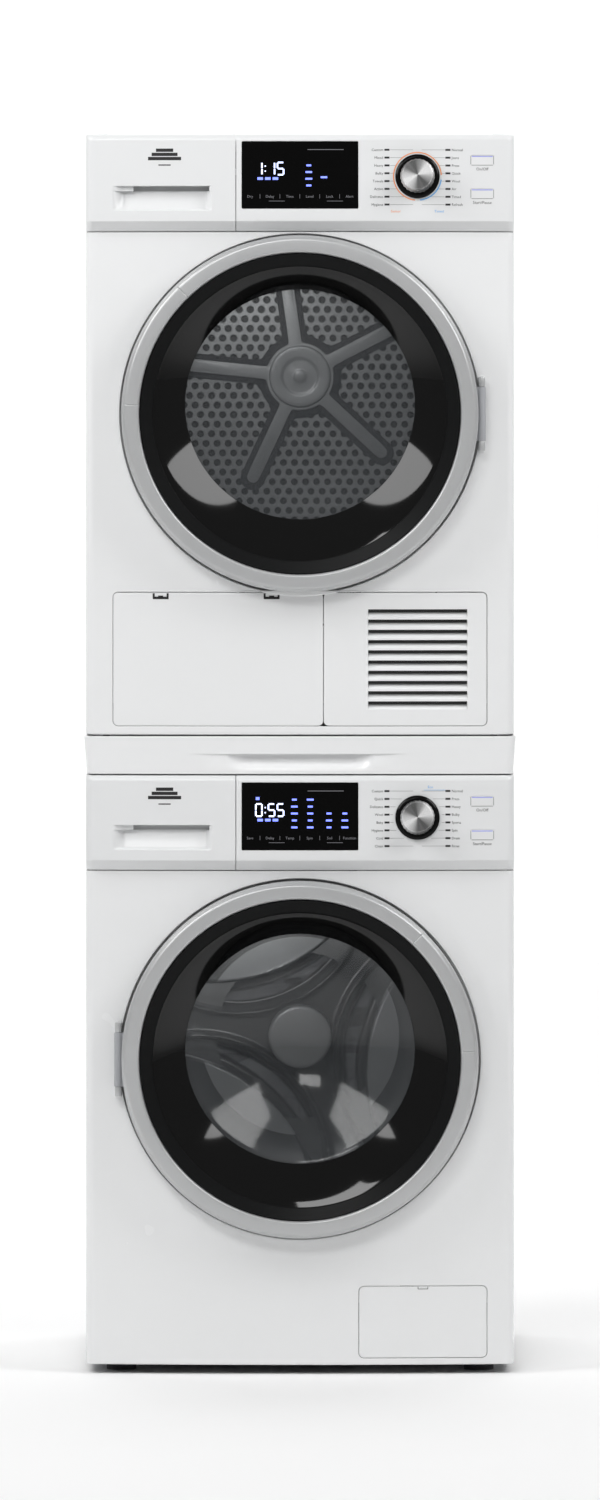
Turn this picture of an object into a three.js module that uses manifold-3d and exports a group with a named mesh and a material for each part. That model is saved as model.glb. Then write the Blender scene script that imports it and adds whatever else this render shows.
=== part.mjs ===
// Front-loading washer and condenser dryer stacked on each other with a pull-out
// shelf kit between them. Millimetres, +Z up, fronts face -Y. Each machine is a
// group whose local y = 0 is the front plane at its two vertical edges.
import * as THREE from 'three';
import { mergeVertices } from 'three/addons/utils/BufferGeometryUtils.js';
import Module from 'manifold-3d';

const wasm = await Module();
wasm.setup();

// ---- Driving dimensions ------------------------------------------------------
const WIDTH = 595;
const BODY_DEPTH = 560;
const WASHER_HEIGHT = 819;
const DRYER_HEIGHT = 834;
const FOOT_CLEARANCE = 13;
const KIT_HEIGHT = 55;
const STACK_GAP = 0.5;
const SEAM = 0.5;
const SHEET = 1.2;
const CORNER_R = 10;
const BOW = 12;
const FRONT_WRAP = 30;
const REAR_BULGE = 18;

const FASCIA_WALL = 3;
const FASCIA_CHAMFER = 14;
const FASCIA_OUT = 12;
const FASCIA_TOP_OUT = 5;
const FASCIA_TOP_ROUND = 8;
const DRAWER_WIDTH = 208.5;
const DISPLAY_WIDTH = 162;
const DISPLAY_HEIGHT = 94;
const DISPLAY_DROP = 10;
const KNOB_R = 23.5;
const KNOB_BASE_R = 29;
const KNOB_LENGTH = 24;
const KNOB_X = 163;
const KNOB_SHAFT_R = 4;
const BUTTON_WIDTH = 31.5;
const BUTTON_HEIGHT = 13.5;
const BUTTON_EDGE = 44.5;
const BUTTON_THICK = 5;
const GRIP_WIDTH = 138;
const GRIP_HEIGHT = 35;
const GRIP_EDGE = 37;
const GRIP_LIFT = 14;
const GRIP_DEPTH = 26;
const GRIP_WALL = 2.5;

const TANK_WIDTH = 138;
const TANK_HEIGHT = 62;
const TANK_DROP = 30;
const TANK_BACK = 430;

const DOOR_R = 247.5;
const RING_INNER_R = 222;
const DISH_R = 204;
const WINDOW_R = 160;
const WINDOW_RISE = 13.5;
const DOOR_FRONT = -46;
const DOOR_BACK = 2;
const DOOR_WALL = 2.5;
const RECESS_GAP = 3;
const RECESS_DEPTH = 6;
const MOUTH_R = 185;
const HINGE_OUT = 4.5;
const HINGE_Y = -22;
const HINGE_LUG_Z = 44.5;
const HINGE_LUG_HEIGHT = 13;
const HINGE_LUG_HALF = 5;
const HINGE_PIN_R = 3;
const HINGE_BASE_HALF = 54;
const HOOK_X = 203;

const TUB_R = 252;
const TUB_WALL = 3;
const TUB_FRONT = 60;
const TUB_BACK = 430;
const EAR_Z = 105;
const EAR_THICK = 12;
const EAR_BITE = 4.98;
const DAMPER_X = 155;
const LUG_HALF = 15;
const LUG_HEIGHT = 32;
const LUG_BITE = 3.43;
const DRUM_CLEARANCE = 14;
const DRUM_SHEET = 1.2;
const SHAFT_R = 14;
const RUNNING_GAP = 0.5;
const PULLEY_R = 130;
const MOTOR_R = 56;
const MOTOR_PULLEY_R = 20;
const BELT_THICK = 2.2;
const DRYER_DRUM_R = 265;
const DRYER_DRUM_FRONT = 70;
const DRYER_DRUM_BACK = 470;
const DRYER_PULLEY_R = 12;
const LIFTER_HEIGHT = 48;
const LIFTER_SHEET = 1.5;
const FLOAT_TRAVEL = 8;

const LOWER_PANEL_EDGE = 38;
const LOWER_PANEL_BASE = 12.5;
const LOWER_PANEL_HEIGHT = 185;
const FLAP_SPLIT = 32.5;
const GRILLE_SLOTS = 10;
const GRILLE_PITCH = 14.2;
const GRILLE_SLOT = 3.2;
const GRILLE_WIDTH = 138;
const DRAIN_FLAP_WIDTH = 177.5;
const DRAIN_FLAP_HEIGHT = 99;
const DRAIN_FLAP_BASE = 10;
const PANEL_GAP = 0.8;
const SCOOP_R = 22;
const SCOOP_HALF = 112;
const KIT_SHEET = 1.5;
const FOOT_INSET = 48;
const RING_SIDES = 30;
const DRUM_SIDES = 22;
const ROD_SIDES = 12;

// ---- Derived places ----------------------------------------------------------
const HALF = WIDTH / 2;
const FRONT_Y = (-DOOR_FRONT - BODY_DEPTH - REAR_BULGE) / 2;
const FASCIA_TILT = (height) => Math.atan((FASCIA_OUT - FASCIA_TOP_OUT)
  / (height - FASCIA_CHAMFER - FASCIA_TOP_ROUND));
const WASHER_TOP = FOOT_CLEARANCE + WASHER_HEIGHT;
const KIT_BASE = WASHER_TOP + STACK_GAP;
const DRYER_BASE = KIT_BASE + KIT_HEIGHT + STACK_GAP;
const RECESS_R = DOOR_R + RECESS_GAP;
const HINGE_X = DOOR_R + HINGE_OUT;
const DRUM_R = TUB_R - TUB_WALL - DRUM_CLEARANCE;

const WASHER = {
  name: 'washer', base: FOOT_CLEARANCE, height: WASHER_HEIGHT, fascia: 132, doorZ: 425,
  hingeSide: -1, drumRise: 5, bowl: 86,
};
const DRYER = {
  name: 'dryer', base: DRYER_BASE, height: DRYER_HEIGHT, fascia: 135, doorZ: 445.5,
  hingeSide: 1, drumRise: 60, bowl: 32,
};

// ---- Finishes ----------------------------------------------------------------
const finish = (color, roughness, metalness = 0, more = {}) =>
  new THREE.MeshStandardMaterial({ color, roughness, metalness, ...more });
const ENAMEL = finish(0xf0f1f3, 0.28);
const FASCIA_WHITE = finish(0xe4e5e9, 0.35);
const SILVER = finish(0xb4b6ba, 0.28, 0.9);
const BLACK_GLOSS = finish(0x060607, 0.08);
const BLACK_PLASTIC = finish(0x17181a, 0.5);
const SMOKED_GLASS = finish(0x1b1d20, 0.05, 0, { transparent: true, opacity: 0.5 });
const STAINLESS = finish(0xa9abae, 0.3, 1);
const ZINC = finish(0x9a9da1, 0.45, 0.9);
const RUBBER = finish(0x6f7276, 0.8);
const BLACK_RUBBER = finish(0x151515, 0.85);
const GREY_PLASTIC = finish(0x8f9296, 0.55);
const CONCRETE = finish(0x8b8a86, 0.9);
const ALUMINIUM = finish(0xb9bbbe, 0.35, 1);

// ---- Solid helpers -----------------------------------------------------------
function windOutward(vertices, triangles) {
  let volume = 0;
  const a = new THREE.Vector3();
  const b = new THREE.Vector3();
  const c = new THREE.Vector3();
  for (let i = 0; i < triangles.length; i += 3) {
    a.fromArray(vertices, 3 * triangles[i]);
    b.fromArray(vertices, 3 * triangles[i + 1]);
    c.fromArray(vertices, 3 * triangles[i + 2]);
    volume += a.dot(b.cross(c));
  }
  if (volume > 0) return;
  for (let i = 0; i < triangles.length; i += 3) {
    [triangles[i], triangles[i + 1]] = [triangles[i + 1], triangles[i]];
  }
}

function solid(geometry) {
  geometry.deleteAttribute('normal');
  geometry.deleteAttribute('uv');
  const merged = mergeVertices(geometry, 1e-3);
  const index = merged.index.array;
  const kept = [];
  for (let i = 0; i < index.length; i += 3) {
    const [a, b, c] = [index[i], index[i + 1], index[i + 2]];
    if (a !== b && b !== c && c !== a) kept.push(a, b, c);
  }
  const vertProperties = new Float32Array(merged.attributes.position.array);
  const triVerts = new Uint32Array(kept);
  windOutward(vertProperties, triVerts);
  return new wasm.Manifold(new wasm.Mesh({ numProp: 3, vertProperties, triVerts }));
}

function addNode(parent, name, body, material) {
  const cut = body.getMesh();
  const geometry = new THREE.BufferGeometry();
  geometry.setAttribute('position', new THREE.BufferAttribute(cut.vertProperties, 3));
  geometry.setIndex(new THREE.BufferAttribute(cut.triVerts, 1));
  geometry.computeVertexNormals();
  const mesh = new THREE.Mesh(geometry, material);
  mesh.name = name;
  parent.add(mesh);
  return mesh;
}

function addGroup(parent, x, y, z, tilt = 0) {
  const group = new THREE.Group();
  group.position.set(x, y, z);
  group.rotation.x = tilt;
  parent.add(group);
  return group;
}

const joined = (bodies) => bodies.reduce((sum, body) => sum.add(body));

function block(x0, x1, y0, y1, z0, z1) {
  const geometry = new THREE.BoxGeometry(Math.abs(x1 - x0), y1 - y0, z1 - z0);
  geometry.translate((x0 + x1) / 2, (y0 + y1) / 2, (z0 + z1) / 2);
  return solid(geometry);
}

function rodAlongY(r, y0, y1, x = 0, z = 0, segments = ROD_SIDES) {
  const geometry = new THREE.CylinderGeometry(r, r, y1 - y0, segments);
  geometry.translate(x, (y0 + y1) / 2, z);
  return solid(geometry);
}

function rodAlongZ(r, z0, z1, x = 0, y = 0, segments = 12) {
  const geometry = new THREE.CylinderGeometry(r, r, z1 - z0, segments);
  geometry.rotateX(Math.PI / 2);
  geometry.translate(x, y, (z0 + z1) / 2);
  return solid(geometry);
}

// Revolves [radius, y] pairs about the Y axis; a profile off the axis is closed here.
function turned(profile, segments, warp = null) {
  const points = profile.map(([r, y]) => new THREE.Vector2(r, y));
  const onAxis = profile[0][0] === 0;
  if (!onAxis) points.push(points[0].clone());
  const geometry = new THREE.LatheGeometry(points, segments);
  if (warp) warp(geometry.attributes.position);
  return solid(geometry);
}

function roundedRect(x0, x1, z0, z1, r) {
  const shape = new THREE.Shape();
  shape.moveTo(x0 + r, z0);
  shape.lineTo(x1 - r, z0);
  shape.absarc(x1 - r, z0 + r, r, -Math.PI / 2, 0);
  shape.lineTo(x1, z1 - r);
  shape.absarc(x1 - r, z1 - r, r, 0, Math.PI / 2);
  shape.lineTo(x0 + r, z1);
  shape.absarc(x0 + r, z1 - r, r, Math.PI / 2, Math.PI);
  shape.lineTo(x0, z0 + r);
  shape.absarc(x0 + r, z0 + r, r, Math.PI, 1.5 * Math.PI);
  return shape;
}

// Carries an outline drawn in x and z along Y, from y0 to y1.
function prismAlongY(shape, y0, y1, curveSegments = 3) {
  const settings = { depth: y1 - y0, bevelEnabled: false, curveSegments };
  const geometry = new THREE.ExtrudeGeometry(shape, settings);
  geometry.rotateX(Math.PI / 2);
  geometry.translate(0, y1, 0);
  return solid(geometry);
}

function panelPrism(x0, x1, z0, z1, r, curveSegments = 2) {
  return prismAlongY(roundedRect(x0, x1, z0, z1, r), -80, 80, curveSegments);
}

const bowAt = (x) => -BOW * (1 - (x / HALF) ** 2);

// Plan outline of a front: rounded vertical edges, a gentle outward bow, open plan behind.
function frontOutline(half, inset, back) {
  const r = CORNER_R - Math.min(inset, CORNER_R / 2);
  const edge = half - inset;
  const points = [new THREE.Vector2(-edge, back)];
  const arcSteps = 3;
  const bowSteps = 8;
  for (let i = 0; i <= arcSteps; i += 1) {
    const angle = Math.PI + (i / arcSteps) * (Math.PI / 2);
    points.push(new THREE.Vector2(-edge + r + r * Math.cos(angle), inset + r + r * Math.sin(angle)));
  }
  for (let i = 1; i < bowSteps; i += 1) {
    points.push(new THREE.Vector2((-1 + (2 * i) / bowSteps) * (edge - r), inset));
  }
  for (let i = 0; i <= arcSteps; i += 1) {
    const angle = 1.5 * Math.PI + (i / arcSteps) * (Math.PI / 2);
    points.push(new THREE.Vector2(edge - r + r * Math.cos(angle), inset + r + r * Math.sin(angle)));
  }
  points.push(new THREE.Vector2(edge, back));
  return new THREE.Shape(points.map((p) => new THREE.Vector2(p.x, p.y < back ? p.y + bowAt(p.x) : p.y)));
}

// A filled front block. Each level is [z, y shift of the front]; the back stays in its plane.
function frontBlock(half, levels, inset = 0, back = FRONT_WRAP) {
  const steps = levels.length - 1;
  const geometry = new THREE.ExtrudeGeometry(frontOutline(half, inset, back), {
    depth: steps, steps, bevelEnabled: false,
  });
  const position = geometry.attributes.position;
  for (let i = 0; i < position.count; i += 1) {
    const [z, shift] = levels[Math.round(position.getZ(i))];
    const front = position.getY(i) < back - 1e-3;
    position.setY(i, position.getY(i) + (front ? shift : 0));
    position.setZ(i, z);
  }
  return solid(geometry);
}

const straightLevels = (z0, z1, shift = 0) => [[z0, shift], [z1, shift]];

// A slab that follows the bow: everything between two offsets behind the front surface.
function bowedSlab(z0, z1, near, far) {
  const outer = frontBlock(HALF + 20, straightLevels(z0, z1, near), 0, 60);
  return outer.subtract(frontBlock(HALF + 20, straightLevels(z0 - 1, z1 + 1, far), 0, 61));
}

// Band around two circles with their centres at (0, 0) and (dx, dz). The radii are
// measured to the flats of the band's arcs, so a band never cuts into its wheel.
function beltShape(r1, r2, dx, dz) {
  const steps = 20;
  const distance = Math.hypot(dx, dz);
  const heading = Math.atan2(dz, dx);
  const spread = Math.acos((r1 - r2) / distance);
  const large = r1 / Math.cos((Math.PI - spread) / steps);
  const small = r2 / Math.cos(spread / steps);
  const shape = new THREE.Path();
  shape.absarc(0, 0, large, heading + spread, heading - spread + 2 * Math.PI);
  shape.absarc(dx, dz, small, heading - spread, heading + spread);
  shape.closePath();
  return new THREE.Shape(shape.getPoints(steps));
}

function beltBand(r1, r2, dx, dz, y0, y1) {
  const outer = prismAlongY(beltShape(r1 + BELT_THICK, r2 + BELT_THICK, dx, dz), y0, y1);
  return outer.subtract(prismAlongY(beltShape(r1, r2, dx, dz), y0 - 1, y1 + 1));
}

// ---- Casing ------------------------------------------------------------------
function wrapShell(height) {
  const outer = new THREE.Shape();
  const inner = new THREE.Path();
  const start = FRONT_WRAP + SEAM;
  const trace = (path, half, back, r) => {
    path.moveTo(-half, start);
    path.lineTo(half, start);
    path.lineTo(half, back - r);
    path.absarc(half - r, back - r, r, 0, Math.PI / 2);
    path.lineTo(-half + r, back);
    path.absarc(-half + r, back - r, r, Math.PI / 2, Math.PI);
  };
  trace(outer, HALF, BODY_DEPTH, CORNER_R);
  trace(inner, HALF - SHEET, BODY_DEPTH - SHEET, CORNER_R - SHEET);
  const settings = { depth: height, bevelEnabled: false, curveSegments: 2 };
  const filled = solid(new THREE.ExtrudeGeometry(outer, settings));
  const hollowShape = new THREE.Shape(inner.getPoints(2));
  const hollow = solid(new THREE.ExtrudeGeometry(hollowShape, { ...settings, depth: height + 2 })
    .translate(0, 0, -1));
  const mouth = block(-HALF + SHEET, HALF - SHEET, start - 5, start + 5, -1, height + 1);
  return filled.subtract(hollow).subtract(mouth);
}

function rearCover(half, z0, z1) {
  const outer = block(-half, half, BODY_DEPTH - SHEET, BODY_DEPTH + REAR_BULGE, z0, z1);
  const hole = block(-half + SHEET, half - SHEET, BODY_DEPTH - 20, BODY_DEPTH + REAR_BULGE - SHEET,
    z0 + SHEET, z1 - SHEET);
  return { outer, hole };
}

function washerCabinet() {
  const cover = rearCover(190, 170, 640);
  const top = block(-HALF + 0.6, HALF - 0.6, FRONT_WRAP + SEAM, BODY_DEPTH - 0.6,
    WASHER_HEIGHT - SHEET, WASHER_HEIGHT);
  const parts = [wrapShell(WASHER_HEIGHT), cover.outer, top];
  for (const side of [-1, 1]) {
    const hook = springPlace(side);
    parts.push(block(side * (hook.x - 22), side * (HALF - 0.6), hook.y - 5, hook.y + 5,
      hook.top + SEAM, hook.top + 8));
  }
  for (const x of [-235, -195]) {
    parts.push(rodAlongY(13, BODY_DEPTH - 1, BODY_DEPTH + REAR_BULGE - 4, x, WASHER_HEIGHT - 45, 16));
  }
  parts.push(rodAlongY(14, BODY_DEPTH - 1, BODY_DEPTH + 10, 230, 60, 16));
  return joined(parts).subtract(cover.hole);
}

function dryerCabinet() {
  const cover = rearCover(200, 260, 740);
  const parts = [wrapShell(DRYER_HEIGHT - 24), cover.outer];
  parts.push(rodAlongY(14, BODY_DEPTH - 1, BODY_DEPTH + 10, 230, 60, 16));
  const shell = joined(parts).subtract(cover.hole);
  const axisZ = DRYER.doorZ + DRYER.drumRise;
  const spider = block(-205, 205, BODY_DEPTH - 12, BODY_DEPTH - 0.6, axisZ - 35, axisZ + 35);
  const boss = rodAlongY(30, DRYER_DRUM_BACK + 14, BODY_DEPTH - 5, 0, axisZ);
  const bore = rodAlongY(SHAFT_R + RUNNING_GAP, DRYER_DRUM_BACK, DRYER_DRUM_BACK + 52, 0, axisZ);
  return shell.add(spider).add(boss).subtract(bore);
}

function basePan(machine, withFeet) {
  const half = HALF - SHEET - SEAM;
  const back = BODY_DEPTH - SHEET - SEAM;
  const front = FRONT_WRAP + SEAM + 2;
  const wall = 1.5;
  let pan = block(-half, half, front, back, 0, 30);
  pan = pan.subtract(block(-half + wall, half - wall, front + wall, back - wall, wall, 31));
  const corner = CORNER_R + 2;
  for (const side of [-1, 1]) {
    pan = pan.subtract(block(side * (half - corner), side * (half + 1), back - corner, back + 1, -1, 31));
  }
  if (!withFeet) return pan;
  pan = pan.subtract(block(DRAIN_X - 44, DRAIN_X + 44, front - 1, front + wall + 1, 8, 31));
  for (const [x, y] of footPlaces()) {
    pan = pan.subtract(rodAlongZ(6 + RUNNING_GAP, -1, 3, x, y));
  }
  return pan;
}

function footPlaces() {
  const x = HALF - FOOT_INSET;
  return [[-x, FOOT_INSET + 16], [x, FOOT_INSET + 16], [-x, BODY_DEPTH - FOOT_INSET],
    [x, BODY_DEPTH - FOOT_INSET]];
}

function levellingFoot() {
  const pad = rodAlongZ(21, -FOOT_CLEARANCE, -FOOT_CLEARANCE + 7, 0, 0, 20);
  const hex = rodAlongZ(11, -FOOT_CLEARANCE + 6, -2, 0, 0, 6);
  return joined([pad, hex, rodAlongZ(6, -3, 34, 0, 0, 12)]);
}

function topCover() {
  const start = FRONT_WRAP + SEAM;
  const z0 = DRYER_HEIGHT - 24 + SEAM;
  const outline = roundedRect(-HALF, HALF, start, BODY_DEPTH, CORNER_R);
  const settings = { depth: DRYER_HEIGHT - z0 - 3, bevelEnabled: true, bevelThickness: 3, bevelSize: 3,
    bevelOffset: -3, bevelSegments: 1, curveSegments: 2 };
  const slab = solid(new THREE.ExtrudeGeometry(outline, settings).translate(0, 0, z0));
  const below = block(-HALF - 1, HALF + 1, start - 1, BODY_DEPTH + 1, z0 - 10, z0);
  const hollow = block(-HALF + 14, HALF - 14, start + 14, BODY_DEPTH - 14, z0 - 1, DRYER_HEIGHT - 3);
  return slab.subtract(below).subtract(hollow);
}

// ---- Front panel with the round door recess -----------------------------------
function recessCup() {
  return turned([
    [RECESS_R, -BOW - 4], [RECESS_R + SHEET, -BOW - 4], [RECESS_R + SHEET, RECESS_DEPTH + SHEET],
    [MOUTH_R, RECESS_DEPTH + SHEET], [MOUTH_R, RECESS_DEPTH], [RECESS_R, RECESS_DEPTH],
  ], RING_SIDES);
}

function frontPanel(machine) {
  const top = machine.height - machine.fascia - 1;
  const levels = straightLevels(0, top);
  const filled = frontBlock(HALF, levels);
  const hollow = frontBlock(HALF, straightLevels(-1, top + 1), SHEET, FRONT_WRAP + 1);
  const hole = rodAlongY(RECESS_R + 0.1, -60, 40, 0, machine.doorZ, RING_SIDES);
  const cup = recessCup().translate([0, 0, machine.doorZ]);
  let panel = filled.subtract(hollow).subtract(hole).add(cup.intersect(filled));
  const s = machine.hingeSide;
  const hingeHole = HINGE_BASE_HALF + SEAM;
  panel = panel.subtract(block(s * (RECESS_R - 3), s * (HINGE_X + 10), -30, 28,
    machine.doorZ - hingeHole, machine.doorZ + hingeHole));
  panel = panel.subtract(block(-s * (HOOK_X - 9), -s * (HOOK_X + 9), 0, 20,
    machine.doorZ - 15, machine.doorZ + 15));
  return panel;
}

function hinge(machine) {
  const s = machine.hingeSide;
  const near = bowAt(HINGE_X) - 1.5;
  const parts = [block(s * (RECESS_R - 3 + SEAM), s * (HINGE_X + 10 - SEAM), near, RECESS_DEPTH + 4,
    -HINGE_BASE_HALF, HINGE_BASE_HALF)];
  for (const side of [-1, 1]) {
    const z0 = side * HINGE_LUG_Z - HINGE_LUG_HEIGHT / 2;
    const z1 = side * HINGE_LUG_Z + HINGE_LUG_HEIGHT / 2;
    parts.push(block(s * (HINGE_X - HINGE_LUG_HALF), s * (HINGE_X + HINGE_LUG_HALF), HINGE_Y, near + 1, z0, z1));
    parts.push(rodAlongZ(HINGE_LUG_HALF, z0, z1, s * HINGE_X, HINGE_Y));
  }
  const pinHalf = HINGE_LUG_Z + HINGE_LUG_HEIGHT / 2 - 1;
  parts.push(rodAlongZ(HINGE_PIN_R, -pinHalf, pinHalf, s * HINGE_X, HINGE_Y, 12));
  return joined(parts);
}

// ---- Round door ----------------------------------------------------------------
// The window sits higher than the ring: inner radii are lifted in step with the dish.
function liftWindow(position) {
  for (let i = 0; i < position.count; i += 1) {
    const r = Math.hypot(position.getX(i), position.getZ(i));
    const share = Math.min(1, Math.max(0, (DISH_R - r) / (DISH_R - WINDOW_R)));
    position.setZ(i, position.getZ(i) + WINDOW_RISE * share);
  }
}

const knuckleHalf = HINGE_LUG_Z - HINGE_LUG_HEIGHT / 2 - SEAM;

function doorRing(machine) {
  const f = DOOR_FRONT;
  const wall = DOOR_R - DOOR_WALL;
  const body = turned([
    [DOOR_R, DOOR_BACK], [DOOR_R, f + 10], [DOOR_R - 7, f], [RING_INNER_R, f + 1], [RING_INNER_R, f + 8],
    [RING_INNER_R + DOOR_WALL, f + 8], [RING_INNER_R + DOOR_WALL + 1, f + 3.5], [DOOR_R - 8.5, f + 3],
    [wall, f + 11], [wall, DOOR_BACK],
  ], RING_SIDES);
  const s = machine.hingeSide;
  const notch = knuckleHalf + SEAM;
  return body.subtract(block(s * (DOOR_R - 16), s * (DOOR_R + 5), HINGE_Y - 6.5, DOOR_BACK + 5, -notch, notch));
}

function doorBezel(machine) {
  const f = DOOR_FRONT;
  return turned([
    [RING_INNER_R - 0.5, f + 5], [DISH_R, f + 11], [WINDOW_R, -4], [WINDOW_R, -1.5], [WINDOW_R + 2, -0.5],
    [DISH_R + 1, f + 14.5], [RING_INNER_R - 0.5, f + 8.5],
  ], RING_SIDES, liftWindow);
}

function doorGlass(machine) {
  const deep = machine.bowl;
  const wall = 5;
  return turned([
    [0, deep], [60, deep - 2], [118, deep * 0.8], [146, deep * 0.36], [WINDOW_R - 2, 2.5], [WINDOW_R + 6, 2.5],
    [WINDOW_R + 6, 7.5], [WINDOW_R, 7.5], [150, deep * 0.36 + wall], [122, deep * 0.8 + wall],
    [62, deep - 2 + wall], [0, deep + wall],
  ], DRUM_SIDES, liftWindow);
}

function doorFrame(machine) {
  const f = DOOR_FRONT;
  const outer = DOOR_R - DOOR_WALL - 0.6;
  const body = turned([
    [WINDOW_R + 8, DOOR_BACK], [WINDOW_R + 8, -3.2], [DISH_R, f + 15.8], [DISH_R + 6, f + 15.8],
    [DISH_R + 6, -4], [outer, -4], [outer, DOOR_BACK],
  ], RING_SIDES, liftWindow);
  const s = machine.hingeSide;
  const arm = block(s * (DOOR_R - 11), s * HINGE_X, HINGE_Y - 3, HINGE_Y + 3, -knuckleHalf, knuckleHalf);
  const web = block(s * (DOOR_R - 11), s * (DOOR_R - 6.5), HINGE_Y - 3, -2, -knuckleHalf, knuckleHalf);
  const knuckle = rodAlongZ(HINGE_PIN_R + 2.6, -knuckleHalf, knuckleHalf, s * HINGE_X, HINGE_Y);
  const bore = rodAlongZ(HINGE_PIN_R + RUNNING_GAP, -60, 60, s * HINGE_X, HINGE_Y, 12);
  const hook = joined([
    block(-s * (HOOK_X - 3), -s * (HOOK_X + 3), 0, 16, -8, 8),
    block(-s * (HOOK_X - 6), -s * (HOOK_X + 3), 12, 18, -8, 8),
  ]);
  return joined([body, arm, web, knuckle, hook]).subtract(bore);
}

function addDoor(parent, machine) {
  const door = addGroup(parent, 0, 0, machine.doorZ);
  addNode(door, `${machine.name}_door_ring`, doorRing(machine), SILVER);
  addNode(door, `${machine.name}_door_bezel`, doorBezel(machine), BLACK_GLOSS);
  addNode(door, `${machine.name}_door_glass`, doorGlass(machine), SMOKED_GLASS);
  addNode(door, `${machine.name}_door_frame`, doorFrame(machine), GREY_PLASTIC);
  addNode(door, `${machine.name}_door_hinge`, hinge(machine), BLACK_PLASTIC);
}

// ---- Control fascia --------------------------------------------------------------
const fasciaLevels = (height, inset) => [
  [inset, 0], [FASCIA_CHAMFER, -FASCIA_OUT], [height - FASCIA_TOP_ROUND, -FASCIA_TOP_OUT],
  [height - FASCIA_TOP_ROUND / 3, -FASCIA_TOP_OUT + 2], [height - inset, -FASCIA_TOP_OUT + 6],
];

const fasciaBlock = (height, inset, back = FRONT_WRAP) =>
  frontBlock(HALF, fasciaLevels(height, inset), inset, back);

const fasciaSkin = (height, wall) =>
  fasciaBlock(height, 0).subtract(fasciaBlock(height, wall, FRONT_WRAP + 1));

const seamX = -HALF + DRAWER_WIDTH;

const displayPlace = (height, gap) => panelPrism(-DISPLAY_WIDTH / 2 - gap, DISPLAY_WIDTH / 2 + gap,
  height - DISPLAY_DROP - DISPLAY_HEIGHT - gap, height - DISPLAY_DROP + gap, 1.5, 1);

const controlZ = (height) => height - DISPLAY_DROP - DISPLAY_HEIGHT / 2 - 2;

function buttonPlace(height, row, gap) {
  const x = HALF - BUTTON_EDGE;
  const z = controlZ(height) + row * 23.3 - 0.5;
  return panelPrism(x - BUTTON_WIDTH / 2 - gap, x + BUTTON_WIDTH / 2 + gap, z - BUTTON_HEIGHT / 2 - gap,
    z + BUTTON_HEIGHT / 2 + gap, BUTTON_HEIGHT / 2 - 0.5 + gap);
}

function fasciaCover(height) {
  const region = block(seamX + SEAM, HALF + 5, -80, 80, -1, height + 1);
  const shaft = rodAlongY(KNOB_SHAFT_R + 2, -60, 60, KNOB_X, controlZ(height), 16);
  return fasciaSkin(height, FASCIA_WALL).intersect(region)
    .subtract(displayPlace(height, SEAM)).subtract(shaft)
    .subtract(buttonPlace(height, 1, SEAM)).subtract(buttonPlace(height, -1, SEAM));
}

const knobSeat = (height) => {
  const z = controlZ(height);
  const rise = (z - FASCIA_CHAMFER) * Math.tan(FASCIA_TILT(height));
  return { x: KNOB_X, y: bowAt(KNOB_X) - FASCIA_OUT + rise, z };
};

function knob() {
  return turned([
    [0, 9], [KNOB_SHAFT_R, 9], [KNOB_SHAFT_R, -1.6], [KNOB_BASE_R, -1.6], [KNOB_BASE_R, -4.5],
    [KNOB_R + 1.5, -6.5], [KNOB_R, -9], [KNOB_R - 0.8, -KNOB_LENGTH + 2], [KNOB_R - 3, -KNOB_LENGTH],
    [0, -KNOB_LENGTH - 0.8],
  ], 20);
}

// Finger recess in the cover of a drawer or tank, as the block that is cut away; grown
// by a wall it gives the cup around that recess.
function fingerRecess(wall, front) {
  const x0 = -HALF + GRIP_EDGE;
  const z0 = FASCIA_CHAMFER + GRIP_LIFT;
  const y0 = bowAt(x0) - FASCIA_OUT;
  const outline = roundedRect(x0 - wall, x0 + GRIP_WIDTH + wall, z0 - wall, z0 + GRIP_HEIGHT + wall, 4 + wall);
  return prismAlongY(outline, y0 + front, y0 + GRIP_DEPTH + wall, 2);
}

// The cover of the drawer or tank: fascia skin left of the seam, with a cup for fingers.
function pullFront(height) {
  const region = block(-HALF - 5, seamX - SEAM, -80, 80, -1, height + 1);
  const cup = fingerRecess(GRIP_WALL, 2).intersect(fasciaBlock(height, 1));
  return fasciaSkin(height, FASCIA_WALL).intersect(region).add(cup);
}

function drawerFront(height) {
  return pullFront(height).subtract(fingerRecess(0, -30));
}

function detergentTray(height) {
  const x0 = -HALF + 16;
  const x1 = seamX - 10;
  const z0 = FASCIA_CHAMFER + 6;
  const z1 = height - 36;
  const y0 = FRONT_WRAP - 6;
  const y1 = y0 + 280;
  const wall = 2.5;
  const compartments = [0, 0.36, 0.68, 1];
  let tray = block(x0, x1, y0, y1, z0, z1);
  for (let i = 0; i < 3; i += 1) {
    const a = x0 + (x1 - x0) * compartments[i] + wall;
    const b = x0 + (x1 - x0) * compartments[i + 1] - (i === 2 ? wall : 0);
    tray = tray.subtract(block(a, b, y0 + 12, y1 - wall, z0 + wall, z1 + 1));
  }
  return tray;
}

function waterTank(height) {
  const x0 = -HALF + 10;
  const x1 = x0 + TANK_WIDTH;
  const z0 = height - TANK_DROP - TANK_HEIGHT;
  const z1 = height - TANK_DROP;
  const y1 = TANK_BACK;
  const wall = 2.5;
  const shell = block(x0, x1, 2, y1, z0, z1);
  const hollow = block(x0 + wall, x1 - wall, FRONT_WRAP + 4, y1 - wall, z0 + wall, z1 - wall);
  const pourSlot = block(x0 + 20, x1 - 20, FRONT_WRAP + 20, FRONT_WRAP + 120, z1 - 5, z1 + 1);
  return pullFront(height).add(shell).subtract(hollow).subtract(pourSlot).subtract(fingerRecess(0, -30));
}

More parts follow.
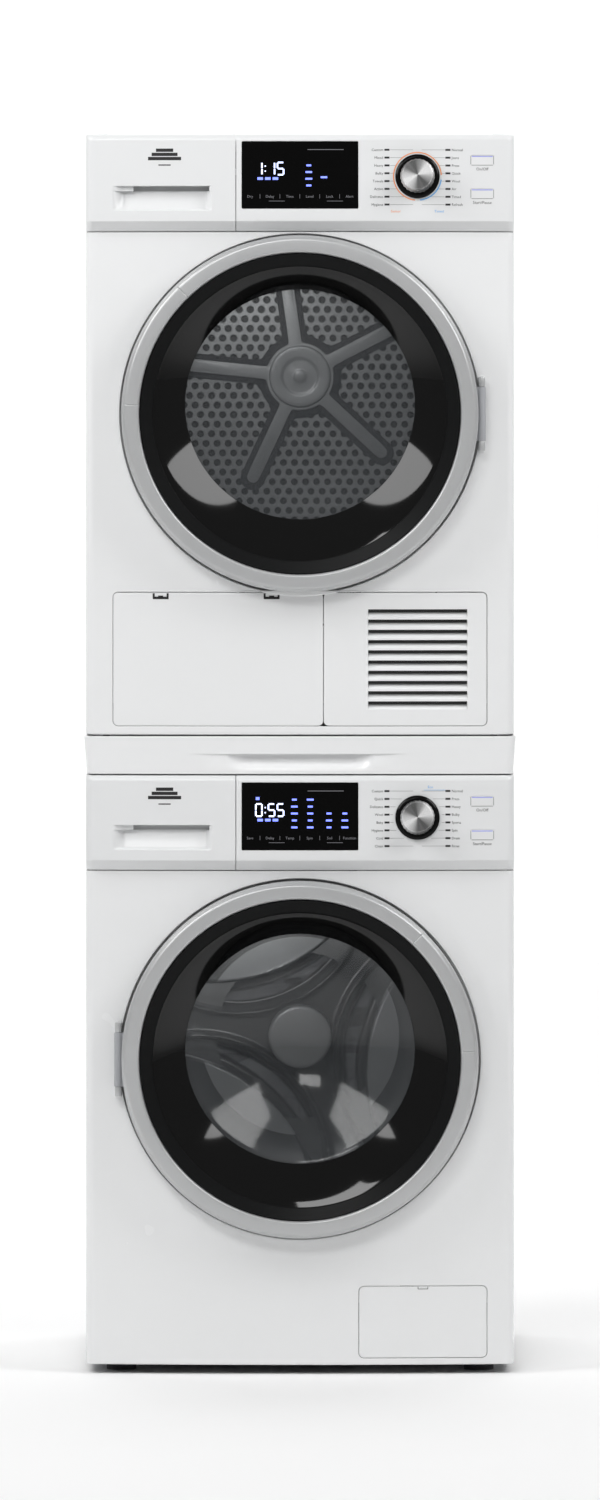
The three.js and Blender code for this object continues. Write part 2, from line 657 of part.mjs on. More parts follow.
function addControls(parent, machine) {
  const h = machine.fascia;
  const panel = addGroup(parent, 0, 0, machine.height - h);
  const name = machine.name;
  addNode(panel, `${name}_fascia`, fasciaCover(h), FASCIA_WHITE);
  addNode(panel, `${name}_display`, fasciaSkin(h, 4).intersect(displayPlace(h, 0)), BLACK_GLOSS);
  const button = fasciaSkin(h, BUTTON_THICK);
  addNode(panel, `${name}_power_button`, button.intersect(buttonPlace(h, 1, 0)), FASCIA_WHITE);
  addNode(panel, `${name}_start_button`, button.intersect(buttonPlace(h, -1, 0)), FASCIA_WHITE);
  const seat = knobSeat(h);
  const seatGroup = addGroup(panel, seat.x, seat.y, seat.z, -FASCIA_TILT(h));
  addNode(seatGroup, `${name}_knob`, knob(), SILVER);
  return panel;
}

// ---- Washing unit ----------------------------------------------------------------
const springPlace = (side) => {
  const x = TUB_R + 14;
  const ear = WASHER.doorZ + WASHER.drumRise + EAR_Z + EAR_THICK;
  return { side, x, y: 250, bottom: ear + SEAM, top: WASHER_HEIGHT - 168 };
};

// Three hollow ridges along the drum wall, open at their ends.
function lifters(drumR, y0, y1) {
  const foot = -drumR + 3.3;
  const ridge = (inset) => new THREE.Shape([[-36, 0], [36, 0], [12, LIFTER_HEIGHT], [-12, LIFTER_HEIGHT]]
    .map(([x, z]) => new THREE.Vector2(x - Math.sign(x) * inset * 1.3, foot + z - (z ? inset : 0))));
  const ridges = [0, 1, 2].map((i) => prismAlongY(ridge(0), y0, y1)
    .subtract(prismAlongY(ridge(LIFTER_SHEET), y0 - 1, y1 + 1)).rotate([0, 120 * i + 60, 0]));
  return ridges;
}

function washerDrum() {
  const r = DRUM_R;
  const t = DRUM_SHEET;
  const [a, b] = [TUB_FRONT + 14, TUB_BACK - 14];
  const shell = turned([
    [0, b + 58], [SHAFT_R, b + 58], [SHAFT_R, b], [r - 7, b], [r, b - 7], [r, a + 7], [r - 7, a], [166, a],
    [166, a + t], [r - 7.5, a + t], [r - t, a + 7.5], [r - t, b - 7.5], [r - 7.5, b - t], [0, b - t],
  ], DRUM_SIDES);
  return joined([shell, ...lifters(r, a + 14, b - 10)]);
}

// How far a flat of the tub's outline lies from the middle, at a distance across it.
const tubReach = (r, across) => Math.sqrt((r * Math.cos(Math.PI / DRUM_SIDES)) ** 2 - across ** 2);
const lugDrop = tubReach(TUB_R, DAMPER_X) - LUG_BITE + LUG_HEIGHT;

function washerTub() {
  const wall = TUB_WALL;
  const earFoot = tubReach(TUB_R - wall, EAR_Z) - EAR_BITE;
  const bore = SHAFT_R + RUNNING_GAP;
  const shell = turned([
    [172, TUB_FRONT], [TUB_R, TUB_FRONT], [TUB_R, TUB_BACK], [40, TUB_BACK], [40, TUB_BACK + 16],
    [bore, TUB_BACK + 16], [bore, TUB_BACK - 4], [TUB_R - wall, TUB_BACK - 4],
    [TUB_R - wall, TUB_FRONT + wall + 1], [172, TUB_FRONT + wall + 1],
  ], DRUM_SIDES);
  const ears = [];
  for (const side of [-1, 1]) {
    ears.push(block(side * earFoot, side * (TUB_R + 24), 236, 264, EAR_Z, EAR_Z + EAR_THICK));
    ears.push(block(side * (DAMPER_X - LUG_HALF), side * (DAMPER_X + LUG_HALF), 236, 264, -lugDrop, -lugDrop + LUG_HEIGHT));
  }
  return joined([shell, ...ears]);
}

function gasket() {
  const end = TUB_FRONT - SEAM;
  const lip = RECESS_DEPTH + SHEET + SEAM;
  const pitch = (end - lip - 14) / 3;
  const folds = [0, 1, 2].map((i) => lip + 8 + i * pitch);
  const outer = folds.map((y, i) => [i % 2 ? 196 : 184, y]);
  const inner = folds.map((y, i) => [i % 2 ? 193 : 181, y]).reverse();
  return turned([
    [192, lip], [192, lip + 3], [184, lip + 3], ...outer, [184, end - 4], [184, end], [181, end], [181, end - 4],
    ...inner, [176, lip + 5], [176, lip],
  ], DRUM_SIDES);
}

function counterweight() {
  const shape = new THREE.Shape();
  shape.absarc(0, 0, TUB_R - 6, Math.PI, 2 * Math.PI);
  shape.lineTo(206, 0);
  shape.absarc(0, 0, 206, 2 * Math.PI, Math.PI, true);
  return prismAlongY(shape, TUB_FRONT - 36, TUB_FRONT - SEAM, 10);
}

const pulleyFace = TUB_BACK + 20;

function drivePulley(r, bore, y0) {
  return turned([
    [bore, y0], [bore + 10, y0], [bore + 10, y0 + 4], [r, y0 + 3.2], [r - 4, y0 + 4.5], [r - 4, y0 + 15.5],
    [r, y0 + 16.8], [r - 8, y0 + 16], [r - 8, y0 + 8], [bore + 10, y0 + 8], [bore + 10, y0 + 14],
    [bore, y0 + 14],
  ], DRUM_SIDES);
}

const MOTOR_Z = -(TUB_R + MOTOR_R + 14);

function washerMotor() {
  const can = rodAlongY(MOTOR_R, 262, 392, 0, 0, 20);
  const nose = rodAlongY(24, 391, 402, 0, 0, 20);
  const saddle = block(-40, 40, 290, 360, MOTOR_R - 6, MOTOR_R + 11);
  const bore = rodAlongY(7 + RUNNING_GAP, 378, 410, 0, 0, 16);
  return joined([can, nose, saddle]).subtract(bore);
}

function motorPulley() {
  const r = MOTOR_PULLEY_R;
  const y0 = pulleyFace;
  return turned([
    [0, 380], [7, 380], [7, y0 + 1], [r, y0 + 1], [r, y0 + 3], [r - 4, y0 + 4.5], [r - 4, y0 + 15.5],
    [r, y0 + 17], [r, y0 + 18.5], [0, y0 + 18.5],
  ], ROD_SIDES);
}

const washerBelt = () => beltBand(PULLEY_R - 3.6, MOTOR_PULLEY_R - 3.6, 0, MOTOR_Z,
  pulleyFace + 6, pulleyFace + 14);

// Wire coil standing between its two hooks: a helix with straight end loops left off.
class Coil extends THREE.Curve {
  constructor(radius, height, turns) {
    super();
    Object.assign(this, { radius, height, turns });
  }

  getPoint(t, target = new THREE.Vector3()) {
    const angle = 2 * Math.PI * this.turns * t;
    return target.set(this.radius * Math.cos(angle), this.radius * Math.sin(angle), this.height * t);
  }
}

function suspensionSpring(length) {
  const wire = 1.8;
  const turns = 5;
  const section = new THREE.Shape();
  section.absarc(0, 0, wire, 0, 2 * Math.PI);
  const coil = solid(new THREE.ExtrudeGeometry(section, {
    steps: 36, curveSegments: 2, extrudePath: new Coil(9, length - 2 * wire - 8, turns),
  }));
  const lower = block(-11, 11, -3, 3, 0, 5);
  const upper = block(-11, 11, -3, 3, length - 5, length);
  return joined([coil.translate([0, 0, wire + 4]), lower, upper]);
}

function damper(length) {
  const profile = [[0, 0], [9, 0], [9, 8], [13, 12], [13, length * 0.55], [5, length * 0.57], [5, length - 10],
    [9, length - 8], [9, length], [0, length]];
  const points = profile.map(([r, y]) => new THREE.Vector2(r, y));
  return solid(new THREE.LatheGeometry(points, 14).rotateX(Math.PI / 2));
}

const DRAIN_X = HALF - LOWER_PANEL_EDGE - DRAIN_FLAP_WIDTH / 2;
const DRAIN_Z = DRAIN_FLAP_BASE + DRAIN_FLAP_HEIGHT / 2;

function drainPump() {
  return joined([rodAlongY(38, 42, 130, 0, 0, 16), rodAlongY(30, 129, 180, 0, 0, 20),
    rodAlongZ(12, 30, 70, 0, 90, 14)]);
}

function filterCap() {
  return joined([rodAlongY(33, 26, 41.2, 0, 0, 16), block(-27, 27, 8, 27, -5, 5)]);
}

const drainOutline = (gap) => panelPrism(DRAIN_X - DRAIN_FLAP_WIDTH / 2 - gap, DRAIN_X + DRAIN_FLAP_WIDTH / 2 + gap,
  DRAIN_FLAP_BASE - gap, DRAIN_FLAP_BASE + DRAIN_FLAP_HEIGHT + gap, 8 + gap);

function drainFlap() {
  return bowedSlab(0, 200, 0, 3).intersect(drainOutline(0));
}

function addWasher(stack) {
  const washer = addGroup(stack, 0, FRONT_Y, WASHER.base);
  addNode(washer, 'washer_cabinet', washerCabinet(), ENAMEL);
  addNode(washer, 'washer_base', basePan(WASHER, true), ZINC);
  addNode(washer, 'washer_front_panel', frontPanel(WASHER).subtract(drainOutline(PANEL_GAP)), ENAMEL);
  addDoor(washer, WASHER);
  const panel = addControls(washer, WASHER);
  addNode(panel, 'washer_drawer_front', drawerFront(WASHER.fascia), FASCIA_WHITE);
  addNode(panel, 'washer_detergent_tray', detergentTray(WASHER.fascia), GREY_PLASTIC);
  const mouth = addGroup(washer, 0, 0, WASHER.doorZ);
  addNode(mouth, 'washer_gasket', gasket(), RUBBER);
  const unit = addGroup(washer, 0, 0, WASHER.doorZ + WASHER.drumRise);
  addNode(unit, 'washer_tub', washerTub(), GREY_PLASTIC);
  addNode(unit, 'washer_drum', washerDrum(), STAINLESS);
  addNode(unit, 'washer_pulley', drivePulley(PULLEY_R, SHAFT_R + 0.3, pulleyFace), ALUMINIUM);
  addNode(unit, 'washer_belt', washerBelt(), BLACK_RUBBER);
  addNode(unit, 'washer_counterweight', counterweight(), CONCRETE);
  const drive = addGroup(unit, 0, 0, MOTOR_Z);
  addNode(drive, 'washer_motor', washerMotor(), ALUMINIUM);
  addNode(drive, 'washer_motor_pulley', motorPulley(), ZINC);
  for (const [word, side] of [['left', -1], ['right', 1]]) {
    const place = springPlace(side);
    const spring = addNode(washer, `washer_spring_${word}`, suspensionSpring(place.top - place.bottom), ZINC);
    spring.position.set(side * place.x, place.y, place.bottom);
    const foot = 1.5 + SEAM;
    const top = WASHER.doorZ + WASHER.drumRise - lugDrop - SEAM;
    const strut = addNode(washer, `washer_damper_${word}`, damper(top - foot), BLACK_PLASTIC);
    strut.position.set(side * DAMPER_X, 250, foot);
  }
  const drain = addGroup(washer, DRAIN_X, 0, DRAIN_Z);
  addNode(drain, 'washer_drain_pump', drainPump(), GREY_PLASTIC);
  addNode(drain, 'washer_filter_cap', filterCap(), BLACK_PLASTIC);
  addNode(washer, 'washer_drain_flap', drainFlap(), ENAMEL);
  footPlaces().forEach(([x, y], i) => {
    addNode(washer, `washer_foot_${i + 1}`, levellingFoot(), BLACK_PLASTIC).position.set(x, y, 0);
  });
}

// ---- Stacking kit ------------------------------------------------------------------
function kitFrame() {
  const back = BODY_DEPTH - 2;
  const front = FRONT_WRAP + 8;
  const rail = 20;
  const wall = KIT_SHEET;
  const parts = [block(-HALF, HALF, back - 18, back, 0, KIT_HEIGHT)
    .subtract(block(-HALF + rail + 2, HALF - rail - 2, back - 18 + wall, back + 1, wall, KIT_HEIGHT - wall))];
  for (const side of [-1, 1]) {
    const tube = block(side * (HALF - rail), side * HALF, front, back, 0, KIT_HEIGHT);
    const core = block(side * (HALF - rail + wall), side * (HALF - wall), front - 1, back - 20,
      wall, KIT_HEIGHT - wall);
    parts.push(tube.subtract(core));
    parts.push(block(side * (HALF - rail - 18), side * (HALF - rail + 1), front, back - 10, 9, 12));
  }
  return joined(parts);
}

function kitShelf() {
  const half = HALF + 2.5;
  const z0 = 1;
  const z1 = KIT_HEIGHT - 1.5;
  const face = frontBlock(half, straightLevels(z0, z1, -2), 0, FRONT_WRAP + 6);
  const hollow = frontBlock(half, straightLevels(z0 + 5, z1 + 1, SCOOP_R), 6, FRONT_WRAP - 2);
  const grip = rodAlongX(SCOOP_R, -SCOOP_HALF, SCOOP_HALF, -BOW - 8, 9);
  const trayHalf = HALF - 20 - 6;
  const y0 = FRONT_WRAP - 1;
  const y1 = 440;
  const tray = block(-trayHalf, trayHalf, y0, y1, 13, 36);
  const well = block(-trayHalf + 2.5, trayHalf - 2.5, FRONT_WRAP + 6, y1 - 2.5, 15.5, 37);
  return face.subtract(hollow).subtract(grip).add(tray).subtract(well);
}

function rodAlongX(r, x0, x1, y, z) {
  const geometry = new THREE.CylinderGeometry(r, r, x1 - x0, 20);
  geometry.rotateZ(Math.PI / 2);
  geometry.translate((x0 + x1) / 2, y, z);
  return solid(geometry);
}

function addKit(stack) {
  const kit = addGroup(stack, 0, FRONT_Y, KIT_BASE);
  addNode(kit, 'kit_frame', kitFrame(), ENAMEL);
  addNode(kit, 'kit_shelf', kitShelf(), ENAMEL);
}

// ---- Drying unit ---------------------------------------------------------------------
const DRYER_MOTOR_X = 150;
const DRYER_MOTOR_Z = 80;
const BELT_Y = 300;

function dryerDrum() {
  const r = DRYER_DRUM_R;
  const t = DRUM_SHEET;
  const [a, b] = [DRYER_DRUM_FRONT, DRYER_DRUM_BACK];
  const shell = turned([
    [0, b + 50], [SHAFT_R, b + 50], [SHAFT_R, b], [r - 7, b], [r, b - 5], [r, a], [r - 13, a], [r - 13, a + t],
    [r - t, a + t], [r - t, b - 5.5], [r - 7.5, b - t], [0, b - t],
  ], DRUM_SIDES);
  return joined([shell, ...lifters(r, a + 30, b - 10)]);
}

function bulkhead() {
  const top = DRYER_HEIGHT - TANK_DROP - TANK_HEIGHT - 7;
  const plateFace = DRYER_DRUM_FRONT - 12;
  const shape = roundedRect(-HALF + 8, HALF - 8, 36, top + 45, 6);
  let plate = prismAlongY(shape, plateFace, plateFace + 2);
  plate = plate.subtract(block(-HALF, -HALF + TANK_WIDTH + 16, 0, 100, top, top + 60));
  plate = plate.subtract(block(-HALF, HALF, 0, 100, 20, LOWER_PANEL_BASE + LOWER_PANEL_HEIGHT));
  const mouthZ = DRYER.doorZ;
  const axisZ = DRYER.doorZ + DRYER.drumRise;
  const tunnel = turned([[MOUTH_R, 8], [MOUTH_R + 3, 8], [MOUTH_R + 3, plateFace + 1], [MOUTH_R, plateFace + 1]], DRUM_SIDES)
    .translate([0, 0, mouthZ]);
  const felt = turned([[DRYER_DRUM_R - 20, plateFace + 1], [DRYER_DRUM_R - 16, plateFace + 1],
    [DRYER_DRUM_R - 16, DRYER_DRUM_FRONT + 8], [DRYER_DRUM_R - 20, DRYER_DRUM_FRONT + 8]], DRUM_SIDES)
    .translate([0, 0, axisZ]);
  const hole = rodAlongY(MOUTH_R + 1, plateFace - 1, plateFace + 4, 0, mouthZ, DRUM_SIDES);
  const slot = block(-FILTER_HALF - 1, FILTER_HALF + 1, FILTER_Y - 1, FILTER_Y + 13,
    mouthZ - MOUTH_R - 20, mouthZ - MOUTH_R + 60);
  return joined([plate.subtract(hole), tunnel, felt]).subtract(slot);
}

const FILTER_HALF = 85;
const FILTER_Y = 43;
const FILTER_DEPTH = 100;

function lintFilter() {
  const top = -MOUTH_R + 28;
  const frame = block(-FILTER_HALF, FILTER_HALF, FILTER_Y, FILTER_Y + 11, top - FILTER_DEPTH, top);
  const window = block(-FILTER_HALF + 8, FILTER_HALF - 8, FILTER_Y - 1, FILTER_Y + 8,
    top - FILTER_DEPTH + 8, top - 14);
  return frame.subtract(window);
}

function dryerMotor() {
  const can = rodAlongY(48, 170, 280, 0, 0, 20);
  const cradle = block(-40, 40, 190, 260, -DRYER_MOTOR_Z + 1.5 + SEAM, -30);
  return joined([can, cradle]).subtract(rodAlongY(6, 100, 400, 0, 0, 14));
}

function dryerFan() {
  const plate = rodAlongY(60, 118, 122, 0, 0, 20);
  const hub = rodAlongY(14, 84, 122, 0, 0, 16);
  const shaft = rodAlongY(5.4, 120, 322, 0, 0, 12);
  const pulley = turned([
    [5, BELT_Y - 5], [DRYER_PULLEY_R + 3, BELT_Y - 5], [DRYER_PULLEY_R + 3, BELT_Y - 3],
    [DRYER_PULLEY_R, BELT_Y - 2], [DRYER_PULLEY_R, BELT_Y + 14], [DRYER_PULLEY_R + 3, BELT_Y + 15],
    [DRYER_PULLEY_R + 3, BELT_Y + 17], [5, BELT_Y + 17],
  ], 18);
  const blades = [];
  for (let i = 0; i < 8; i += 1) {
    blades.push(block(34, 57, 82, 119, -1, 1).rotate([0, 45 * i, 0]));
  }
  return joined([plate, hub, shaft, pulley, ...blades]);
}

const dryerBelt = () => beltBand(DRYER_DRUM_R + 0.5, DRYER_PULLEY_R + 0.5, DRYER_MOTOR_X,
  DRYER_MOTOR_Z - DRYER.doorZ - DRYER.drumRise, BELT_Y, BELT_Y + 12);

function condenser() {
  const [x0, x1, y0, y1, z0, z1] = [-240, -30, 70, 400, 34, 150];
  const fins = 12;
  const parts = [block(x0, x1, y0, y1, z0, z0 + 4), block(x0, x1, y0, y1, z1 - 4, z1)];
  for (let i = 0; i < fins; i += 1) {
    const x = x0 + ((x1 - x0 - 3) * i) / (fins - 1);
    parts.push(block(x, x + 3, y0, y1, z0 + 2, z1 - 2));
  }
  return joined(parts);
}

const lowerTop = LOWER_PANEL_BASE + LOWER_PANEL_HEIGHT;

function serviceFlap() {
  const outline = panelPrism(-HALF + LOWER_PANEL_EDGE, FLAP_SPLIT - PANEL_GAP / 2, LOWER_PANEL_BASE, lowerTop, 8);
  return bowedSlab(0, lowerTop + 40, 0, 3).intersect(outline);
}

function ventGrille() {
  const x1 = HALF - LOWER_PANEL_EDGE;
  const outline = panelPrism(FLAP_SPLIT + PANEL_GAP / 2, x1, LOWER_PANEL_BASE, lowerTop, 8);
  let grille = bowedSlab(0, lowerTop + 40, 0, 3).intersect(outline);
  const right = x1 - 27;
  for (let i = 0; i < GRILLE_SLOTS; i += 1) {
    const z = lowerTop - 25.5 - i * GRILLE_PITCH;
    grille = grille.subtract(block(right - GRILLE_WIDTH, right, -80, 80, z - GRILLE_SLOT / 2, z + GRILLE_SLOT / 2));
  }
  return grille;
}

function addDryer(stack) {
  const dryer = addGroup(stack, 0, FRONT_Y, DRYER.base);
  const lowerHole = panelPrism(-HALF + LOWER_PANEL_EDGE - PANEL_GAP, HALF - LOWER_PANEL_EDGE + PANEL_GAP,
    LOWER_PANEL_BASE - PANEL_GAP, lowerTop + PANEL_GAP, 8 + PANEL_GAP);
  addNode(dryer, 'dryer_cabinet', dryerCabinet(), ENAMEL);
  addNode(dryer, 'dryer_base', basePan(DRYER, false), ZINC);
  addNode(dryer, 'dryer_front_panel', frontPanel(DRYER).subtract(lowerHole), ENAMEL);
  addNode(dryer, 'dryer_top_cover', topCover(), ENAMEL);
  addDoor(dryer, DRYER);
  const panel = addControls(dryer, DRYER);
  addNode(panel, 'dryer_water_tank', waterTank(DRYER.fascia), FASCIA_WHITE);
  addNode(dryer, 'dryer_bulkhead', bulkhead(), ZINC);
  const mouth = addGroup(dryer, 0, 0, DRYER.doorZ);
  addNode(mouth, 'dryer_lint_filter', lintFilter(), BLACK_PLASTIC);
  const unit = addGroup(dryer, 0, 0, DRYER.doorZ + DRYER.drumRise);
  addNode(unit, 'dryer_drum', dryerDrum(), STAINLESS);
  addNode(unit, 'dryer_belt', dryerBelt(), BLACK_RUBBER);
  const drive = addGroup(dryer, DRYER_MOTOR_X, 0, DRYER_MOTOR_Z);
  addNode(drive, 'dryer_motor', dryerMotor(), ALUMINIUM);
  addNode(drive, 'dryer_fan', dryerFan(), BLACK_PLASTIC);
  addNode(dryer, 'dryer_condenser', condenser(), ALUMINIUM);
  addNode(dryer, 'dryer_service_flap', serviceFlap(), ENAMEL);
  addNode(dryer, 'dryer_vent_grille', ventGrille(), ENAMEL);
}

const stack = new THREE.Group();
addWasher(stack);
addKit(stack);
addDryer(stack);

export default stack;
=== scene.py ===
"""Visual model of a washer and a condenser dryer stacked with a pull-out shelf between them.

Every visible piece is a surface worked out with numpy in metres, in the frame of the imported
model: +Z up, the fronts face -Y. Each sub-assembly is a class that builds and dresses its
pieces; each finish is a small class that makes one material.
"""
from __future__ import annotations

import logging
import math
from dataclasses import dataclass
from enum import Enum
from typing import Callable, Sequence

import bmesh
import bpy
import numpy as np
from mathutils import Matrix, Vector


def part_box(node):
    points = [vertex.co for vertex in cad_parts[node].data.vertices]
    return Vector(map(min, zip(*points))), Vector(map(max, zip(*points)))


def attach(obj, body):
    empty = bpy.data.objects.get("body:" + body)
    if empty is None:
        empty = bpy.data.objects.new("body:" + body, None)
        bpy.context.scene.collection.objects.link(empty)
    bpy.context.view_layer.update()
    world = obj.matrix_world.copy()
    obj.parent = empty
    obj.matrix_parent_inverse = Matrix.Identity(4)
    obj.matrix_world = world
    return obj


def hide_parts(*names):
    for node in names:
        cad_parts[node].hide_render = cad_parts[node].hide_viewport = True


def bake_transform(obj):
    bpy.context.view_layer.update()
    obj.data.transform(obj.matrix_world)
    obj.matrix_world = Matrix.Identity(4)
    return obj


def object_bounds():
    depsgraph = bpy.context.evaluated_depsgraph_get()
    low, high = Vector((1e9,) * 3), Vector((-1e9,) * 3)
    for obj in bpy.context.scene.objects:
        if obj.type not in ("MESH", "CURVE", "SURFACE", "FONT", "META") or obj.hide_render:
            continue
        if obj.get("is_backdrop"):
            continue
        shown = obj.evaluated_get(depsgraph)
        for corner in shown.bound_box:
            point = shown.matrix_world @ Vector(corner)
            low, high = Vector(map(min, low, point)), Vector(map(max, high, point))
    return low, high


Array = np.ndarray
MM = 0.001
LOG = logging.getLogger("laundry_stack")


# ---- Shader expressions ----
class Expr:
    """A shader socket whose arithmetic adds Math nodes to its tree."""

    def __init__(self, shader: "Shader", socket: bpy.types.NodeSocket) -> None:
        """Wrap a socket of one of the shader's nodes."""
        self.shader = shader
        self.socket = socket

    def math(self, operation: str, *values: "Expr | float") -> "Expr":
        """Return a Math node's result for this value and the others."""
        return self.shader.node("ShaderNodeMath", {"operation": operation}, [self, *values])

    def __add__(self, other: "Expr | float") -> "Expr":
        """Sum."""
        return self.math("ADD", other)

    def __sub__(self, other: "Expr | float") -> "Expr":
        """Difference."""
        return self.math("SUBTRACT", other)

    def __mul__(self, other: "Expr | float") -> "Expr":
        """Product."""
        return self.math("MULTIPLY", other)

    def __rsub__(self, other: float) -> "Expr":
        """Number minus this value."""
        return self.shader.node("ShaderNodeMath", {"operation": "SUBTRACT"}, [other, self])

    __radd__ = __add__
    __rmul__ = __mul__


class Shader:
    """One material's node tree with a Principled BSDF at its end."""

    def __init__(self, name: str) -> None:
        """Start a material with a fresh tree.

        Args:
            name: the material's name.
        """
        self.material = bpy.data.materials.new(name)
        self.material.use_nodes = True
        self.tree = self.material.node_tree
        self.surface = self.tree.nodes["Principled BSDF"]

    def node(self, kind: str, settings: dict, inputs: Sequence | dict = (), output: int | str = 0) -> Expr:
        """Add a node.

        Args:
            kind: the node's type.
            settings: attributes set before its sockets; "stops" fills a colour ramp.
            inputs: values or expressions, by position or by socket name.
            output: which of its outputs is returned.

        Returns:
            The output as an expression.
        """
        made = self.tree.nodes.new(kind)
        for key, value in settings.items():
            if key == "stops":
                ramp = made.color_ramp
                while len(ramp.elements) < len(value):
                    ramp.elements.new(0.5)
                for element, (place, colour) in zip(ramp.elements, value):
                    element.position = place
                    element.color = (*colour, 1.0)
            else:
                setattr(made, key, value)
        pairs = inputs.items() if isinstance(inputs, dict) else enumerate(inputs)
        for key, value in pairs:
            self.feed(made.inputs[key], value)
        return Expr(self, made.outputs[output])

    def feed(self, socket: bpy.types.NodeSocket, value: object) -> None:
        """Link an expression to a socket, or set a constant on it.

        Args:
            socket: the input to fill.
            value: an expression or a constant.
        """
        if isinstance(value, Expr):
            self.tree.links.new(value.socket, socket)
        else:
            socket.default_value = value

    def position(self) -> Expr:
        """The object coordinates, in metres."""
        return self.node("ShaderNodeTexCoord", {}, output="Object")

    def noise(self, scale: float, detail: float = 2.0) -> Expr:
        """A noise factor over the object coordinates.

        Args:
            scale: cells to the metre.
            detail: octaves of finer noise.

        Returns:
            The factor, from 0 to 1.
        """
        inputs = {"Vector": self.position(), "Scale": scale, "Detail": detail}
        return self.node("ShaderNodeTexNoise", {}, inputs, "Fac")

    def blend(self, factor: Expr, low: Sequence[float], high: Sequence[float]) -> Expr:
        """A colour between two colours.

        Args:
            factor: 0 for the first colour, 1 for the second.
            low: the first colour.
            high: the second colour.

        Returns:
            The colour.
        """
        stops = [(0.0, low), (1.0, high)]
        return self.node("ShaderNodeValToRGB", {"stops": stops}, {"Fac": factor}, "Color")

    def bump(self, height: Expr, strength: float, distance: float) -> None:
        """Feed a height into the surface's normal.

        Args:
            height: the height.
            strength: share of the effect.
            distance: metres for a height of 1.
        """
        inputs = {"Strength": strength, "Distance": distance, "Height": height}
        self.feed(self.surface.inputs["Normal"], self.node("ShaderNodeBump", {}, inputs, "Normal"))

    def set(self, **sockets: object) -> None:
        """Set the surface's sockets; underscores in the names stand for spaces."""
        for key, value in sockets.items():
            self.feed(self.surface.inputs[key.replace("_", " ")], value)


def grey(level: float, cool: float = 0.0) -> tuple[float, float, float]:
    """A grey with a slight blue cast."""
    return (level * (1 - cool), level * (1 - cool * 0.4), level)


def rgba(colour: Sequence[float]) -> tuple[float, float, float, float]:
    """The colour with full alpha."""
    return (*colour, 1.0)


@dataclass(frozen=True)
class Coated:
    """An opaque painted or moulded surface: mottled colour, a fine texture and a clear coat."""

    name: str
    colour: tuple[float, float, float]
    roughness: float
    metallic: float = 0.0
    coat: float = 0.0
    mottle: float = 0.02
    grain: float = 900.0
    relief: float = 0.00001

    def material(self) -> bpy.types.Material:
        """Make the material."""
        shader = Shader(self.name)
        cloud = shader.noise(7.0, 3.0)
        low = tuple(c * (1 - self.mottle) for c in self.colour)
        high = tuple(min(1.0, c * (1 + self.mottle)) for c in self.colour)
        shader.set(Base_Color=shader.blend(cloud, low, high), Metallic=self.metallic)
        shader.set(Roughness=self.roughness + (cloud - 0.5) * 0.06)
        shader.set(Coat_Weight=self.coat, Coat_Roughness=0.06)
        if self.relief:
            shader.bump(shader.noise(self.grain, 2.0), 0.35, self.relief)
        return shader.material


@dataclass(frozen=True)
class Gloss:
    """A polished dark surface with faint dust and handling marks."""

    name: str
    colour: tuple[float, float, float]
    roughness: float = 0.04
    alpha: float = 1.0
    ior: float = 1.22

    def material(self) -> bpy.types.Material:
        """Make the material."""
        shader = Shader(self.name)
        marks = shader.noise(24.0, 4.0)
        shader.set(Base_Color=rgba(self.colour), Roughness=self.roughness + marks * 0.03)
        shader.set(Alpha=self.alpha, IOR=self.ior)
        return shader.material


@dataclass(frozen=True)
class SpunMetal:
    """Metal turned on a lathe: rays of painted highlight and painted shade in the base colour around an
    axis along Y, and fine rings.
    """

    name: str
    axis: tuple[float, float]
    rays: float = 2.0
    phase: float = 0.6

    def material(self) -> bpy.types.Material:
        """Make the material."""
        shader = Shader(self.name)
        split = shader.node("ShaderNodeSeparateXYZ", {}, {"Vector": shader.position()}, "X")
        node = split.socket.node
        across = split - self.axis[0]
        up = Expr(shader, node.outputs["Z"]) - self.axis[1]
        angle = up.math("ARCTAN2", across)
        # The base colour swings from dark to light with the angle about the axis: painted highlights and
        # painted shade, fixed to the knob.
        sweep = (angle * self.rays + self.phase).math("SINE")
        fine = (angle * 9.0).math("SINE")
        light = (sweep * 0.5 + 0.5).math("POWER", 1.5) + fine * 0.05
        shader.set(Base_Color=shader.blend(light, grey(0.12), grey(0.95)), Metallic=0.45)
        radius = (across * across + up * up).math("SQRT")
        rings = (radius * 9000.0).math("SINE")
        shader.set(Roughness=0.3 + rings * 0.03)
        shader.bump(rings, 0.12, 0.00002)
        return shader.material


@dataclass(frozen=True)
class Brushed:
    """Rolled or drawn sheet metal with streaks along one axis."""

    name: str
    colour: tuple[float, float, float]
    roughness: float
    stretch: tuple[float, float, float] = (40.0, 4.0, 900.0)
    metallic: float = 1.0

    def material(self) -> bpy.types.Material:
        """Make the material."""
        shader = Shader(self.name)
        mapped = shader.node("ShaderNodeMapping", {}, {"Vector": shader.position(), "Scale": self.stretch},
                             "Vector")
        streaks = shader.node("ShaderNodeTexNoise", {}, {"Vector": mapped, "Scale": 1.0, "Detail": 3.0},
                              "Fac")
        low = tuple(c * 0.82 for c in self.colour)
        shader.set(Base_Color=shader.blend(streaks, low, self.colour), Metallic=self.metallic)
        shader.set(Roughness=self.roughness + (streaks - 0.5) * 0.16)
        shader.bump(streaks, 0.1, 0.00002)
        return shader.material


@dataclass(frozen=True)
class Lamp:
    """A small lit sign."""

    name: str
    colour: tuple[float, float, float]
    strength: float

    def material(self) -> bpy.types.Material:
        """Make the material."""
        shader = Shader(self.name)
        shimmer = shader.noise(260.0, 1.0)
        low = tuple(c * 0.8 for c in self.colour)
        shader.set(Base_Color=rgba(grey(0.02)), Roughness=0.4, Emission_Strength=self.strength)
        shader.set(Emission_Color=shader.blend(shimmer, low, self.colour))
        return shader.material


